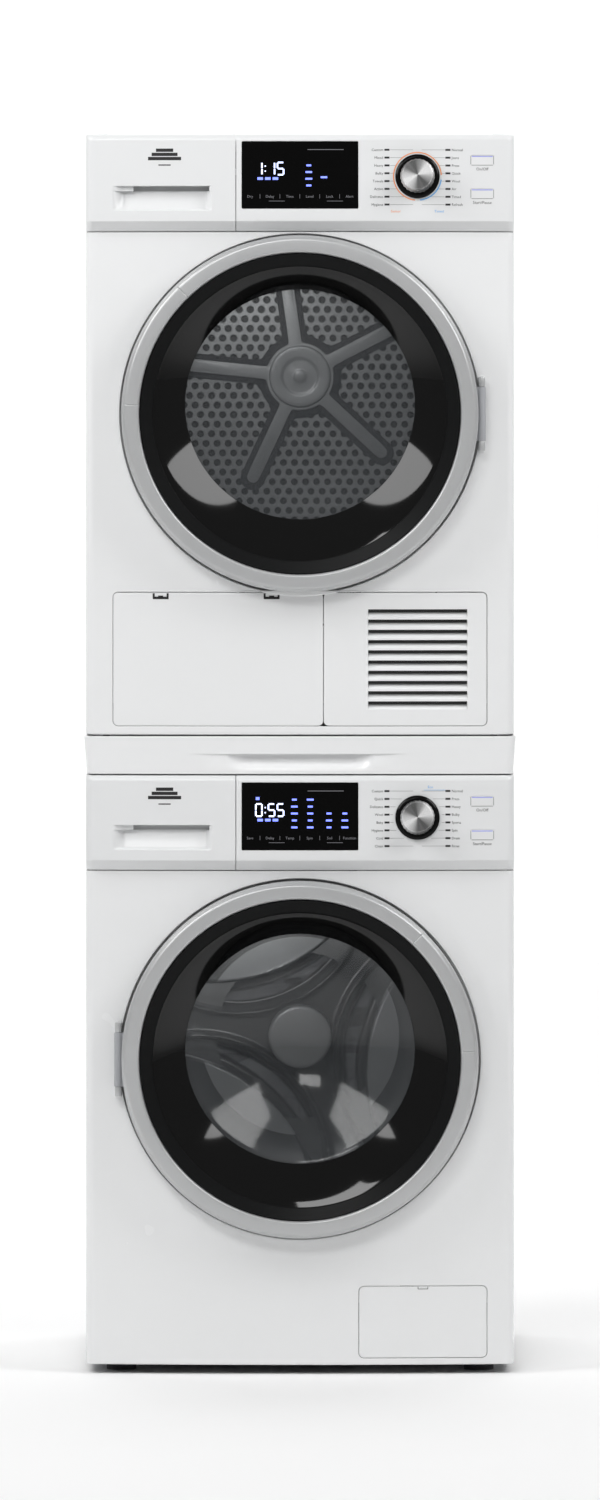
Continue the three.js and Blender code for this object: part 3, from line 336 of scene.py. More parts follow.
class Finish(Enum):
    """The finishes of the stack."""

    ENAMEL = Coated("stoved_enamel", grey(0.84, 0.012), 0.26, coat=0.35, mottle=0.012)
    PLASTIC = Coated("fascia_plastic", grey(0.76, 0.016), 0.34, coat=0.1, mottle=0.012, grain=1400.0)
    SILVER = Coated("silver_lacquer", grey(0.5, 0.02), 0.36, metallic=0.35, coat=0.25, mottle=0.03,
                    grain=2600.0)
    CHARCOAL = Gloss("charcoal_bevel", grey(0.009, 0.05), 0.3, 1.0, 1.16)
    BLACK = Gloss("polished_black", grey(0.0022), ior=1.4)
    SCREEN = Gloss("display_black", grey(0.0018), 0.06)
    GLASS = Gloss("smoked_glass", grey(0.004, 0.1), 0.02, 0.15, 1.01)
    # Black; its own colour on the knob's skirt, a painted dark reflection on the door ring's rear band.
    EDGE = Gloss("black_edge_and_painted_reflection", grey(0.004), 0.12)
    # Dark plastic; also painted shade: the dark margin around the dryer drum's ribs.
    DARK = Coated("dark_plastic", grey(0.022), 0.5, mottle=0.15, grain=1600.0, relief=0.00003)
    GREY_PART = Coated("grey_plastic", grey(0.34, 0.03), 0.5, mottle=0.05, grain=1500.0, relief=0.00003)
    RUBBER = Coated("door_rubber", grey(0.16, 0.03), 0.72, mottle=0.12, grain=1200.0, relief=0.00004)
    # Belt rubber; also painted shade for the washer drum's drain holes.
    BELT = Coated("belt_rubber", grey(0.02), 0.8, mottle=0.2, grain=2200.0, relief=0.00004)
    STEEL = Brushed("drum_steel", grey(0.38, 0.03), 0.34, metallic=0.8)
    # Darker and lighter copies of one steel for the washer drum back: painted shade on most of it, painted
    # highlight on its lenses.
    DARK_STEEL = Brushed("shaded_steel", grey(0.16, 0.04), 0.36, (30.0, 30.0, 30.0), 0.5)
    DRUM_BACK = Brushed("drum_back_steel", grey(0.52, 0.04), 0.42, (30.0, 30.0, 30.0), 0.3)
    LIT_STEEL = Brushed("painted_lit_lens_steel", grey(0.62, 0.05), 0.4, (20.0, 20.0, 20.0), 0.3)
    ZINC = Brushed("zinc_steel", grey(0.45, 0.03), 0.42, (60.0, 60.0, 12.0))
    ALUMINIUM = Brushed("cast_aluminium", grey(0.55, 0.02), 0.45, (90.0, 90.0, 90.0))
    CONCRETE = Coated("cast_concrete", grey(0.30), 0.9, mottle=0.3, grain=260.0, relief=0.0004)
    # Grey ink for captions; also painted shade in the drain flap's latch slot.
    INK = Coated("grey_ink_and_painted_shade", grey(0.035, 0.02), 0.6, mottle=0.05, relief=0.0)
    # Pale ink for leader lines; also painted shade in the gaps beside and below the keys.
    FAINT_INK = Coated("pale_ink_and_painted_shade", grey(0.22, 0.02), 0.6, mottle=0.05, relief=0.0)
    # Black print; also painted shade: the disc behind the dryer drum's holes and the dark in the grille's
    # slots.
    BLACK_INK = Coated("black_ink_and_painted_shade", grey(0.008), 0.5, mottle=0.05, relief=0.0)
    ORANGE_INK = Coated("orange_ink", (0.88, 0.30, 0.10), 0.5, mottle=0.05, relief=0.0)
    BLUE_INK = Coated("blue_ink", (0.10, 0.40, 0.80), 0.5, mottle=0.05, relief=0.0)
    LIT_BLUE = Lamp("lit_blue", (0.18, 0.24, 1.0), 2.4)
    LIT_WHITE = Lamp("lit_white", (0.62, 0.70, 1.0), 3.2)
    LIT_VIOLET = Lamp("lit_violet", (0.42, 0.44, 0.95), 0.9)
    FAINT_WHITE = Lamp("faint_white", (0.5, 0.5, 0.55), 0.35)

    def get(self) -> bpy.types.Material:
        """The finish's material, made on first use."""
        known = bpy.data.materials.get(self.value.name)
        return known or self.value.material()


# ---- Mesh helpers ----
def quads(rows: int, cols: int, wrap_rows: bool, wrap_cols: bool) -> Array:
    """Quad indices of a grid of rows x cols points, closed along either way if asked.

    Args:
        rows: points one way.
        cols: points the other way.
        wrap_rows: the last row joins the first.
        wrap_cols: the last column joins the first.

    Returns:
        (n, 4) indices.
    """
    r = np.arange(rows if wrap_rows else rows - 1)[:, None]
    c = np.arange(cols if wrap_cols else cols - 1)[None, :]
    r1, c1 = (r + 1) % rows, (c + 1) % cols
    return np.stack([r * cols + c, r * cols + c1, r1 * cols + c1, r1 * cols + c], -1).reshape(-1, 4)


class Body:
    """Grids of points collected into one mesh."""

    def __init__(self) -> None:
        """Start with no grids."""
        self.points: list[Array] = []
        self.faces: list[Array] = []
        self.slots: list[Array] = []
        self.count = 0

    def grid(self, points: Array, wrap_rows: bool = False, wrap_cols: bool = False,
             slot: int = 0) -> "Body":
        """Add a grid.

        Args:
            points: (rows, cols, 3) coordinates in metres.
            wrap_rows: the last row joins the first.
            wrap_cols: the last column joins the first.
            slot: material slot of its faces.

        Returns:
            This body.
        """
        rows, cols = points.shape[:2]
        return self.mesh(points.reshape(-1, 3), quads(rows, cols, wrap_rows, wrap_cols), slot)

    def faced(self) -> list[Array]:
        """The faces of each grid, turned so that its whole area faces -Y.

        Returns:
            One array of faces for each grid.
        """
        points, turned = np.concatenate(self.points), []
        for faces in self.faces:
            corners = points[faces]
            area = np.cross(corners[:, 2] - corners[:, 0], corners[:, -1] - corners[:, 1])
            turned.append(faces[:, ::-1] if area[:, 1].sum() > 0 else faces)
        return turned

    def mesh(self, points: Array, faces: Array, slot: int = 0) -> "Body":
        """Add loose points and faces of one size.

        Args:
            points: (n, 3) coordinates.
            faces: (m, k) indices into them.
            slot: material slot of the faces.

        Returns:
            This body.
        """
        self.points.append(points)
        self.faces.append(faces + self.count)
        self.slots.append(np.full(len(faces), slot))
        self.count += len(points)
        return self

    @staticmethod
    def sharpen_borders(mesh: bpy.types.Mesh) -> None:
        """Mark the open edges sharp, so that the wall's rim does not round them off.

        Args:
            mesh: the mesh to mark.
        """
        used = np.empty(len(mesh.loops), np.int32)
        mesh.loops.foreach_get("edge_index", used)
        attribute = mesh.attributes.get("sharp_edge") or mesh.attributes.new("sharp_edge", "BOOLEAN",
                                                                             "EDGE")
        sharp = np.empty(len(mesh.edges), bool)
        attribute.data.foreach_get("value", sharp)
        sharp |= np.bincount(used, minlength=len(mesh.edges)) == 1
        attribute.data.foreach_set("value", sharp)

    def build(self, name: str, finishes: Sequence[Finish], crease: float = 40.0, wall: float = 0.0,
              merge: float = 2e-6, face_front: bool = False) -> bpy.types.Object:
        """Make the object.

        Args:
            name: the piece's name.
            finishes: one finish for each slot.
            crease: edges sharper than this many degrees are not smoothed.
            wall: thickness given by Solidify, inwards.
            merge: points closer than this are one.
            face_front: turn an open sheet so that it faces -Y instead of working the sides out.

        Returns:
            The object, at the origin.
        """
        mesh = bpy.data.meshes.new(name)
        points = np.concatenate(self.points)
        faces = self.faced() if face_front else self.faces
        mesh.from_pydata(points.tolist(), [], [f for part in faces for f in part.tolist()])
        slots = np.concatenate(self.slots).astype(np.int32)
        mesh.polygons.foreach_set("material_index", slots)
        work = bmesh.new()
        work.from_mesh(mesh)
        bmesh.ops.remove_doubles(work, verts=work.verts, dist=merge)
        bmesh.ops.dissolve_degenerate(work, edges=work.edges, dist=1e-7)
        if not face_front:
            bmesh.ops.recalc_face_normals(work, faces=work.faces)
        work.to_mesh(mesh)
        work.free()
        mesh.shade_smooth()
        mesh.set_sharp_from_angle(angle=math.radians(crease))
        if wall:
            self.sharpen_borders(mesh)
        for finish in finishes:
            mesh.materials.append(finish.get())
        piece = bpy.data.objects.new(name, mesh)
        bpy.context.scene.collection.objects.link(piece)
        if wall:
            solid = piece.modifiers.new("wall", "SOLIDIFY")
            solid.thickness = wall
            solid.offset = -1.0
        return piece


def hand_in(piece: bpy.types.Object, body: str, nodes: Sequence[str] = ()) -> bpy.types.Object:
    """Let a piece ride on a body and stand for CAD nodes.

    Args:
        piece: the finished piece.
        body: the body it rides on.
        nodes: CAD nodes that it stands for.

    Returns:
        The piece.
    """
    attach(piece, body)
    if nodes:
        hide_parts(*nodes)
    LOG.info("%s rides on %s for %s", piece.name, body, ", ".join(nodes) or "no node")
    return piece


def rounded(profile: Sequence[Sequence[float]], radius: float, steps: int = 5,
            closed: bool = True) -> Array:
    """Round the corners of a profile.

    Each corner P between neighbours A and B becomes the quadratic curve from a point on PA to a
    point on PB: (1-t)^2 S + 2t(1-t) P + t^2 E, with S and E at most 45% of the way along.

    Args:
        profile: the corner points.
        radius: how far from the corner the curve begins.
        steps: points on each curve.
        closed: whether the last corner joins the first.

    Returns:
        (n, 2) points.
    """
    p = np.asarray(profile, float)
    a, b = np.roll(p, 1, 0) - p, np.roll(p, -1, 0) - p
    la, lb = np.linalg.norm(a, axis=1, keepdims=True), np.linalg.norm(b, axis=1, keepdims=True)
    s = p + a / la * np.minimum(radius, 0.45 * la)
    e = p + b / lb * np.minimum(radius, 0.45 * lb)
    t = np.linspace(0, 1, steps)[None, :, None]
    curve = (1 - t) ** 2 * s[:, None] + 2 * t * (1 - t) * p[:, None] + t * t * e[:, None]
    if not closed:
        curve[0], curve[-1] = p[0], p[-1]
    return curve.reshape(-1, 2)


def revolve(profile: Array, centre: tuple[float, float], segments: int = 160,
            lift: Callable[[Array], Array] | None = None) -> Array:
    """Turn [radius, y] points about an axis along Y.

    Args:
        profile: (n, 2) radii and y in metres.
        centre: x and z of the axis.
        segments: steps around.
        lift: extra height as a function of the radius.

    Returns:
        (n, segments, 3) points: x = cx + r cos(a), z = cz + r sin(a) + lift(r).
    """
    angle = around(segments)[None, :]
    r, y = profile[:, 0][:, None], profile[:, 1][:, None]
    rise = 0.0 if lift is None else lift(r)
    x = centre[0] + r * np.cos(angle)
    z = centre[1] + r * np.sin(angle) + rise
    return np.stack([x, np.broadcast_to(y, x.shape), z], -1)


def around(count: int) -> Array:
    """Even angles of a full turn, without its end."""
    return np.linspace(0, 2 * math.pi, count, endpoint=False)


def smoothstep(x: Array, low: float, high: float) -> Array:
    """0 below low, 1 above high, 3t^2 - 2t^3 between them.

    Args:
        x: the values.
        low: where the step begins.
        high: where it ends.

    Returns:
        Values from 0 to 1.
    """
    t = np.clip((x - low) / (high - low), 0, 1)
    return t * t * (3 - 2 * t)


# ---- Outlines on a front ----
@dataclass(frozen=True)
class Outline:
    """A rectangle with rounded corners about its centre; a circle if r is half of both sides."""

    u: float
    z: float
    width: float
    height: float
    r: float

    def corners(self) -> Array:
        """Points that show the outline's shape, about its centre.

        Returns:
            (n, 2) points.
        """
        angle = np.linspace(0, math.pi / 2, 9)
        w, h = self.width / 2 - self.r, self.height / 2 - self.r
        x, z = w + self.r * np.cos(angle), h + self.r * np.sin(angle)
        quarter = np.stack([x, z], -1)
        return np.concatenate([quarter, quarter * [-1, 1], quarter * [1, -1], -quarter])

    def at(self, angle: Array, grow: float = 0.0) -> Array:
        """Where rays from the centre meet the outline grown by a distance.

        The straight sides give t = min(w/|cos|, h/|sin|); where that hit lies beyond a corner's
        centre c, the ray is cut with the corner's circle instead: t = d.c + sqrt((d.c)^2 - c.c + r^2).

        Args:
            angle: directions of the rays.
            grow: how far the outline is grown.

        Returns:
            (n, 2) points.
        """
        w, h, r = self.width / 2 + grow, self.height / 2 + grow, max(self.r + grow, 1e-6)
        d = np.stack([np.cos(angle), np.sin(angle)], -1)
        side = np.minimum(w / np.maximum(abs(d[:, 0]), 1e-9), h / np.maximum(abs(d[:, 1]), 1e-9))
        c = np.array([max(w - r, 0.0), max(h - r, 0.0)])
        hit = abs(d) * side[:, None]
        dc = abs(d) @ c
        arc = dc + np.sqrt(np.maximum(dc * dc - c @ c + r * r, 0))
        t = np.where((hit[:, 0] > c[0]) & (hit[:, 1] > c[1]), arc, side)
        return np.array([self.u, self.z]) + d * t[:, None]


def frame_at(angle: Array, centre: Array, box: Sequence[float]) -> Array:
    """Where rays from a point inside a box (u0, u1, z0, z1) meet its sides.

    Args:
        angle: directions of the rays.
        centre: where they start.
        box: u0, u1, z0 and z1.

    Returns:
        (n, 2) points.
    """
    d = np.stack([np.cos(angle), np.sin(angle)], -1)
    tu = np.where(d[:, 0] > 0, box[1] - centre[0], box[0] - centre[0]) / np.where(d[:, 0] == 0, 1e-12,
                                                                                  d[:, 0])
    tz = np.where(d[:, 1] > 0, box[3] - centre[1], box[2] - centre[1]) / np.where(d[:, 1] == 0, 1e-12,
                                                                                  d[:, 1])
    return centre + d * np.minimum(abs(tu), abs(tz))[:, None]


def ray_angles(*sets: Array, count: int = 96) -> Array:
    """Sorted angles of even rays and of the rays through the given points.

    Args:
        count: number of even rays.
        sets: points about the centre that need a ray of their own.

    Returns:
        Angles from -pi to pi.
    """
    own = [np.arctan2(s[:, 1], s[:, 0]) for s in sets]
    even = np.linspace(-math.pi, math.pi, count, endpoint=False)
    angle = np.sort(np.concatenate([even, *own]))
    return angle[np.concatenate([[True], np.diff(angle) > 1e-5])]


def box_outline(node: str, r: float = 7 * MM, grow: float = 0.0) -> Outline:
    """The outline of a node's box on the front.

    Args:
        node: the CAD node.
        r: radius of the corners.
        grow: added to width and height.

    Returns:
        The outline about the box's middle.
    """
    low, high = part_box(node)
    width, height = high[0] - low[0] + grow, high[2] - low[2] + grow
    return Outline((low[0] + high[0]) / 2, (low[2] + high[2]) / 2, width, height, r)


def box_corners(box: Sequence[float]) -> Array:
    """The four corners of a box (u0, u1, z0, z1)."""
    return np.array([[u, z] for u in box[:2] for z in box[2:]])


def between(outer: Array, inner: Array, rows: int, power: float = 1.0) -> Array:
    """Rows of points from one ring to another: outer (1 - t) + inner t, with t raised to a power.

    Args:
        outer: (n, 2) points of the first ring.
        inner: (n, 2) points of the last ring.
        rows: number of rings.
        power: bends the spacing.

    Returns:
        (rows, n, 2) points.
    """
    t = np.linspace(0, 1, rows)[:, None, None] ** power
    return outer * (1 - t) + inner * t


def flush(u: Array, z: Array) -> Array:
    """No depth anywhere."""
    return 0 * u + 0 * z


def levels_of(plan: Outline, angle: Array, rows: Sequence[tuple[float | None, float]]) -> Array:
    """Rings of a plan outline stacked along z.

    Args:
        plan: the outline in x and y.
        angle: directions of the points.
        rows: how far each ring is grown, or None for the middle, and its z.

    Returns:
        (rows, angles, 3) points.
    """
    middle = np.tile([plan.u, plan.z], (len(angle), 1))
    flat = [middle if grow is None else plan.at(angle, grow) for grow, _ in rows]
    return np.stack([np.column_stack([ring, np.full(len(angle), z)]) for ring, (_, z) in zip(flat, rows)])


def upright(profile: Array, x: float, y: float, segments: int) -> Array:
    """Turn [radius, z] points about a vertical axis: x + r cos a, y + r sin a, z.

    Args:
        profile: (n, 2) radii and heights.
        x: the axis's x.
        y: the axis's y.
        segments: steps around.

    Returns:
        (n, segments, 3) points.
    """
    angle = around(segments)[None]
    r = profile[:, 0][:, None]
    across_x, across_y = x + r * np.cos(angle), y + r * np.sin(angle)
    return np.stack([across_x, across_y, profile[:, 1][:, None] + 0 * across_x], -1)


@dataclass
class Front:
    """A bowed front with rounded vertical edges, addressed by u across, z up and a depth.

    u is the length along the plan outline from the middle: straight over the bow, around the
    corner arc, then back along the side. lean holds [z, y] knots that tip the face in side view.
    """

    half: float
    y: float
    back: float
    bow: float = 12 * MM
    corner: float = 10 * MM
    lean: Sequence[Sequence[float]] = ((0.0, 0.0), (1.0, 0.0))
    bow_half: float = 0.2975

    @property
    def reach(self) -> float:
        """The largest u, at the back edge of the side."""
        return self.half - self.corner + self.corner * math.pi / 2 + (self.back - self.y - self.corner)

    def place(self, u: Array, z: Array, depth: Array | float = 0.0) -> Array:
        """Points on or behind the front.

        Beyond the flat part the arc angle is a = (|u| - edge)/corner; x = edge + corner sin a and
        y = corner (1 - cos a), then the side runs straight back. The bow adds -bow (1 - (x/half)^2)
        and the lean adds its y, fading along the side; depth moves against the outward normal.

        Args:
            u: lengths across.
            z: heights.
            depth: distances behind the face.

        Returns:
            Points with x, y and z in the last axis.
        """
        edge = self.half - self.corner
        over = np.maximum(abs(u) - edge, 0)
        arc = np.minimum(over / self.corner, math.pi / 2)
        side = np.maximum(over - self.corner * math.pi / 2, 0)
        sign = np.sign(u)
        x = sign * (np.minimum(abs(u), edge) + self.corner * np.sin(arc))
        knots = np.asarray(self.lean, float)
        tip = np.interp(z, knots[:, 0], knots[:, 1])
        length = max(self.back - self.y - self.corner, 1e-6)
        y = self.y + self.corner * (1 - np.cos(arc)) + side
        y = y - self.bow * (1 - (x / self.bow_half) ** 2) + tip * (1 - side / length)
        return np.stack([x - sign * np.sin(arc) * depth, y + np.cos(arc) * depth, z + 0 * x], -1)

    def strip(self, body: Body, u: Array, section: Array) -> None:
        """Carry a section of [z, depth] points across the front."""
        body.grid(self.place(u[None, :], section[:, 0][:, None], section[:, 1][:, None]))

    def patch(self, body: Body, box: Sequence[float], hole: Outline, lip: float, depth: float,
              rows: int = 10, power: float = 0.8, count: int = 96) -> None:
        """Fill a box around a hole and turn the hole's edge inwards.

        Rows run from the box to the hole grown by the lip radius; then a quarter circle and a
        straight wall lead down to the depth.

        Args:
            body: the mesh that takes the grid.
            box: u0, u1, z0 and z1.
            hole: the hole's outline.
            lip: radius of the hole's rounded edge.
            depth: how deep its wall goes.
            rows: rows from the box to the hole.
            power: bends their spacing.
            count: number of even rays.
        """
        centre = np.array([hole.u, hole.z])
        angle = ray_angles(hole.corners(), box_corners(box) - centre, count=count)
        flat = between(frame_at(angle, centre, box), hole.at(angle, lip), rows, power)
        turn = np.linspace(0, math.pi / 2, 5)[1:]
        walls = [(lip * (1 - math.sin(a)), lip * (1 - math.cos(a))) for a in turn] + [(0.0, depth)]
        edge = np.stack([hole.at(angle, grow) for grow, _ in walls])
        uz = np.concatenate([flat, edge])
        deep = np.concatenate([np.zeros(rows), [d for _, d in walls]])[:, None]
        body.grid(self.place(uz[..., 0], uz[..., 1], deep), wrap_cols=True)

    def plate(self, body: Body, shape: Outline, raised: float, thick: float, edge: float = 0.6 * MM,
              rows: int = 7) -> None:
        """A closed plate on the front: crowned rim, flat face and back.

        The face's rows shrink the outline to its centre; the rim is a quarter circle of the edge
        radius, and the back's rows shrink again at full depth.

        Args:
            body: the mesh that takes the grid.
            shape: the plate's outline.
            raised: how far its face stands out.
            thick: its thickness.
            edge: radius of its rim.
            rows: rows from the middle to the rim.
        """
        centre = np.array([shape.u, shape.z])
        angle = ray_angles(shape.corners(), count=48)
        inner = shape.at(angle, -edge)
        t = np.linspace(0.0, 1.0, rows)[:, None, None]
        face = centre * (1 - t) + inner * t
        turn = np.linspace(0, math.pi / 2, 5)[1:]
        rim = [(-edge * (1 - math.sin(a)), -raised + edge * (1 - math.cos(a))) for a in turn]
        rim.append((0.0, thick - raised))
        edges = np.stack([shape.at(angle, grow) for grow, _ in rim])
        back = (centre * t + shape.at(angle, 0.0) * (1 - t))[1:]
        uz = np.concatenate([face, edges, back])
        deep = np.concatenate([np.full(rows, -raised), [d for _, d in rim],
                               np.full(rows - 1, thick - raised)])
        body.grid(self.place(uz[..., 0], uz[..., 1], deep[:, None]), wrap_cols=True)

    def relief(self, body: Body, u: Array, z: Array, depth: Callable[[Array, Array], Array]) -> None:
        """A grid over u and z whose depth is a function of both.

        Args:
            body: the mesh that takes the grid.
            u: positions across.
            z: heights.
            depth: depth as a function of both.
        """
        uu, zz = np.meshgrid(u, z)
        body.grid(self.place(uu, zz, depth(uu, zz)))

    def drawn(self, body: Body, points: Array, faces: Array, height: float, slot: int = 0) -> None:
        """Lay flat artwork of [u, z] points just above the face."""
        body.mesh(self.place(points[:, 0], points[:, 1], np.full(len(points), -height)), faces, slot)


def across(front: Front, u0: float, u1: float, step: float = 0.012) -> Array:
    """Positions across a front, closer together around its rounded edges.

    Args:
        front: the front.
        u0: the first position.
        u1: the last position.
        step: the usual distance between two.

    Returns:
        Sorted positions.
    """
    edge = front.half - front.corner
    even = np.linspace(u0, u1, max(2, int((u1 - u0) / step)))
    bends = np.concatenate([s * (edge + front.corner * np.linspace(0, math.pi / 2, 9)) for s in (-1, 1)])
    inside = bends[(bends > u0) & (bends < u1)]
    return np.unique(np.concatenate([even, inside]))


# ---- The machines' common facts ----
@dataclass
class Machine:
    """Places of one machine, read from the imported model."""

    name: str
    hinge_side: int
    window_r: float = 160 * MM
    dish_r: float = 204 * MM
    ring_inner: float = 222 * MM
    window_rise: float = 13.5 * MM
    recess_gap: float = 3 * MM
    recess_depth: float = 6 * MM
    mouth_r: float = 185 * MM
    bow: float = 12 * MM

    def __post_init__(self) -> None:
        """Read the boxes of the nodes that set the places."""
        low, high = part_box(f"{self.name}_front_panel")
        self.half = high[0]
        self.base, self.panel_top = low[2], high[2]
        self.y = low[1] + self.bow
        self.back = high[1]
        low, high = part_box(f"{self.name}_fascia")
        self.fascia_base, self.top = low[2], high[2]
        self.seam = low[0]
        low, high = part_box(f"{self.name}_door_ring")
        self.door_z = (low[2] + high[2]) / 2
        self.door_r = (high[2] - low[2]) / 2
        self.ring_front, self.ring_back = low[1], high[1]
        low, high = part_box(f"{self.name}_drum")
        self.drum_z = (low[2] + high[2]) / 2

    @property
    def panel(self) -> Front:
        """The steel front."""
        return Front(self.half, self.y, self.back)

    @property
    def fascia(self) -> Front:
        """The control fascia: chamfer, leaning face and rounded top."""
        b, t = self.fascia_base, self.top
        lean = [(b, 0.0), (b + 13 * MM, -11.3 * MM), (b + 14 * MM, -12 * MM), (b + 15.5 * MM, -12 * MM),
                (t - 8 * MM, -5 * MM), (t - 5 * MM, -4.2 * MM), (t - 2.4 * MM, -2.4 * MM),
                (t - 0.8 * MM, -0.6 * MM),
                (t, 1.4 * MM)]
        return Front(self.half, self.y, self.back, lean=lean)

    def lift(self, r: Array) -> Array:
        """How far the door's circles of radius r sit above its centre."""
        return self.window_rise * np.clip((self.dish_r - r) / (self.dish_r - self.window_r), 0, 1)


# ---- Steel fronts ----
@dataclass
class FrontPanel:
    """The enamelled front with the round recess that the door closes into."""

    machine: Machine
    lip: float = 1.6 * MM
    split: float = 0.0
    holes: Sequence[Outline] = ()

    def build(self) -> None:
        """Make the panel: a patch around the recess, one around each lower hole, and the edges."""
        m, front, body = self.machine, self.machine.panel, Body()
        reach, edge = front.reach, 8 * MM
        flat_u = front.half - front.corner - 1 * MM
        split = self.split or m.base + edge
        r = m.door_r + m.recess_gap
        floor = m.y + m.recess_depth
        circle = Outline(0.0, m.door_z, 2 * r, 2 * r, r)
        box = (-flat_u, flat_u, split, m.panel_top)
        centre = np.array([0.0, m.door_z])
        angle = ray_angles(box_corners(box) - centre, count=224)
        flat = between(frame_at(angle, centre, box), circle.at(angle, self.lip), 18)
        points = [front.place(flat[..., 0], flat[..., 1], 0 * flat[..., 0])]
        for a in np.linspace(0, math.pi / 2, 6)[1:]:
            uz = circle.at(angle, self.lip * (1 - math.sin(a)))
            points.append(front.place(uz[:, 0], uz[:, 1], self.lip * (1 - math.cos(a)))[None])
        wall = circle.at(angle, 0.0)
        for radius, y in ((r, floor), (r - 2 * MM, floor + 0.2 * MM), (m.mouth_r + 4 * MM, floor),
                          (m.mouth_r, floor + 0.8 * MM), (m.mouth_r - 0.4 * MM, floor + 3 * MM)):
            ring = centre + (wall - centre) * (radius / r)
            points.append(np.stack([ring[:, 0], np.full(len(angle), y), ring[:, 1]], -1)[None])
        body.grid(np.concatenate(points), wrap_cols=True)
        levels = np.linspace(m.base + edge, m.panel_top, 24)
        for side in (-1, 1):
            u = np.sort(side * across(front, flat_u, reach))
            front.relief(body, u, levels, flush)
        section = rounded([(m.base + edge, 0), (m.base, 0), (m.base, 16 * MM)], 3 * MM, closed=False)
        front.strip(body, across(front, -reach, reach), section)
        if self.holes:
            low = m.base + edge
            first = self.holes[0]
            start = -flat_u
            if first.width < 0.3:
                start = first.u - first.width / 2 - 14 * MM
                front.relief(body, across(front, -flat_u, start), np.linspace(low, split, 8), flush)
            front.patch(body, (start, flat_u, low, split), first, 1 * MM, 7 * MM, 12, 1.0, 160)
        piece = body.build(f"{m.name}_front_skin", [Finish.ENAMEL], face_front=True, wall=1.1 * MM)
        hand_in(piece, "stack", [f"{m.name}_front_panel"])


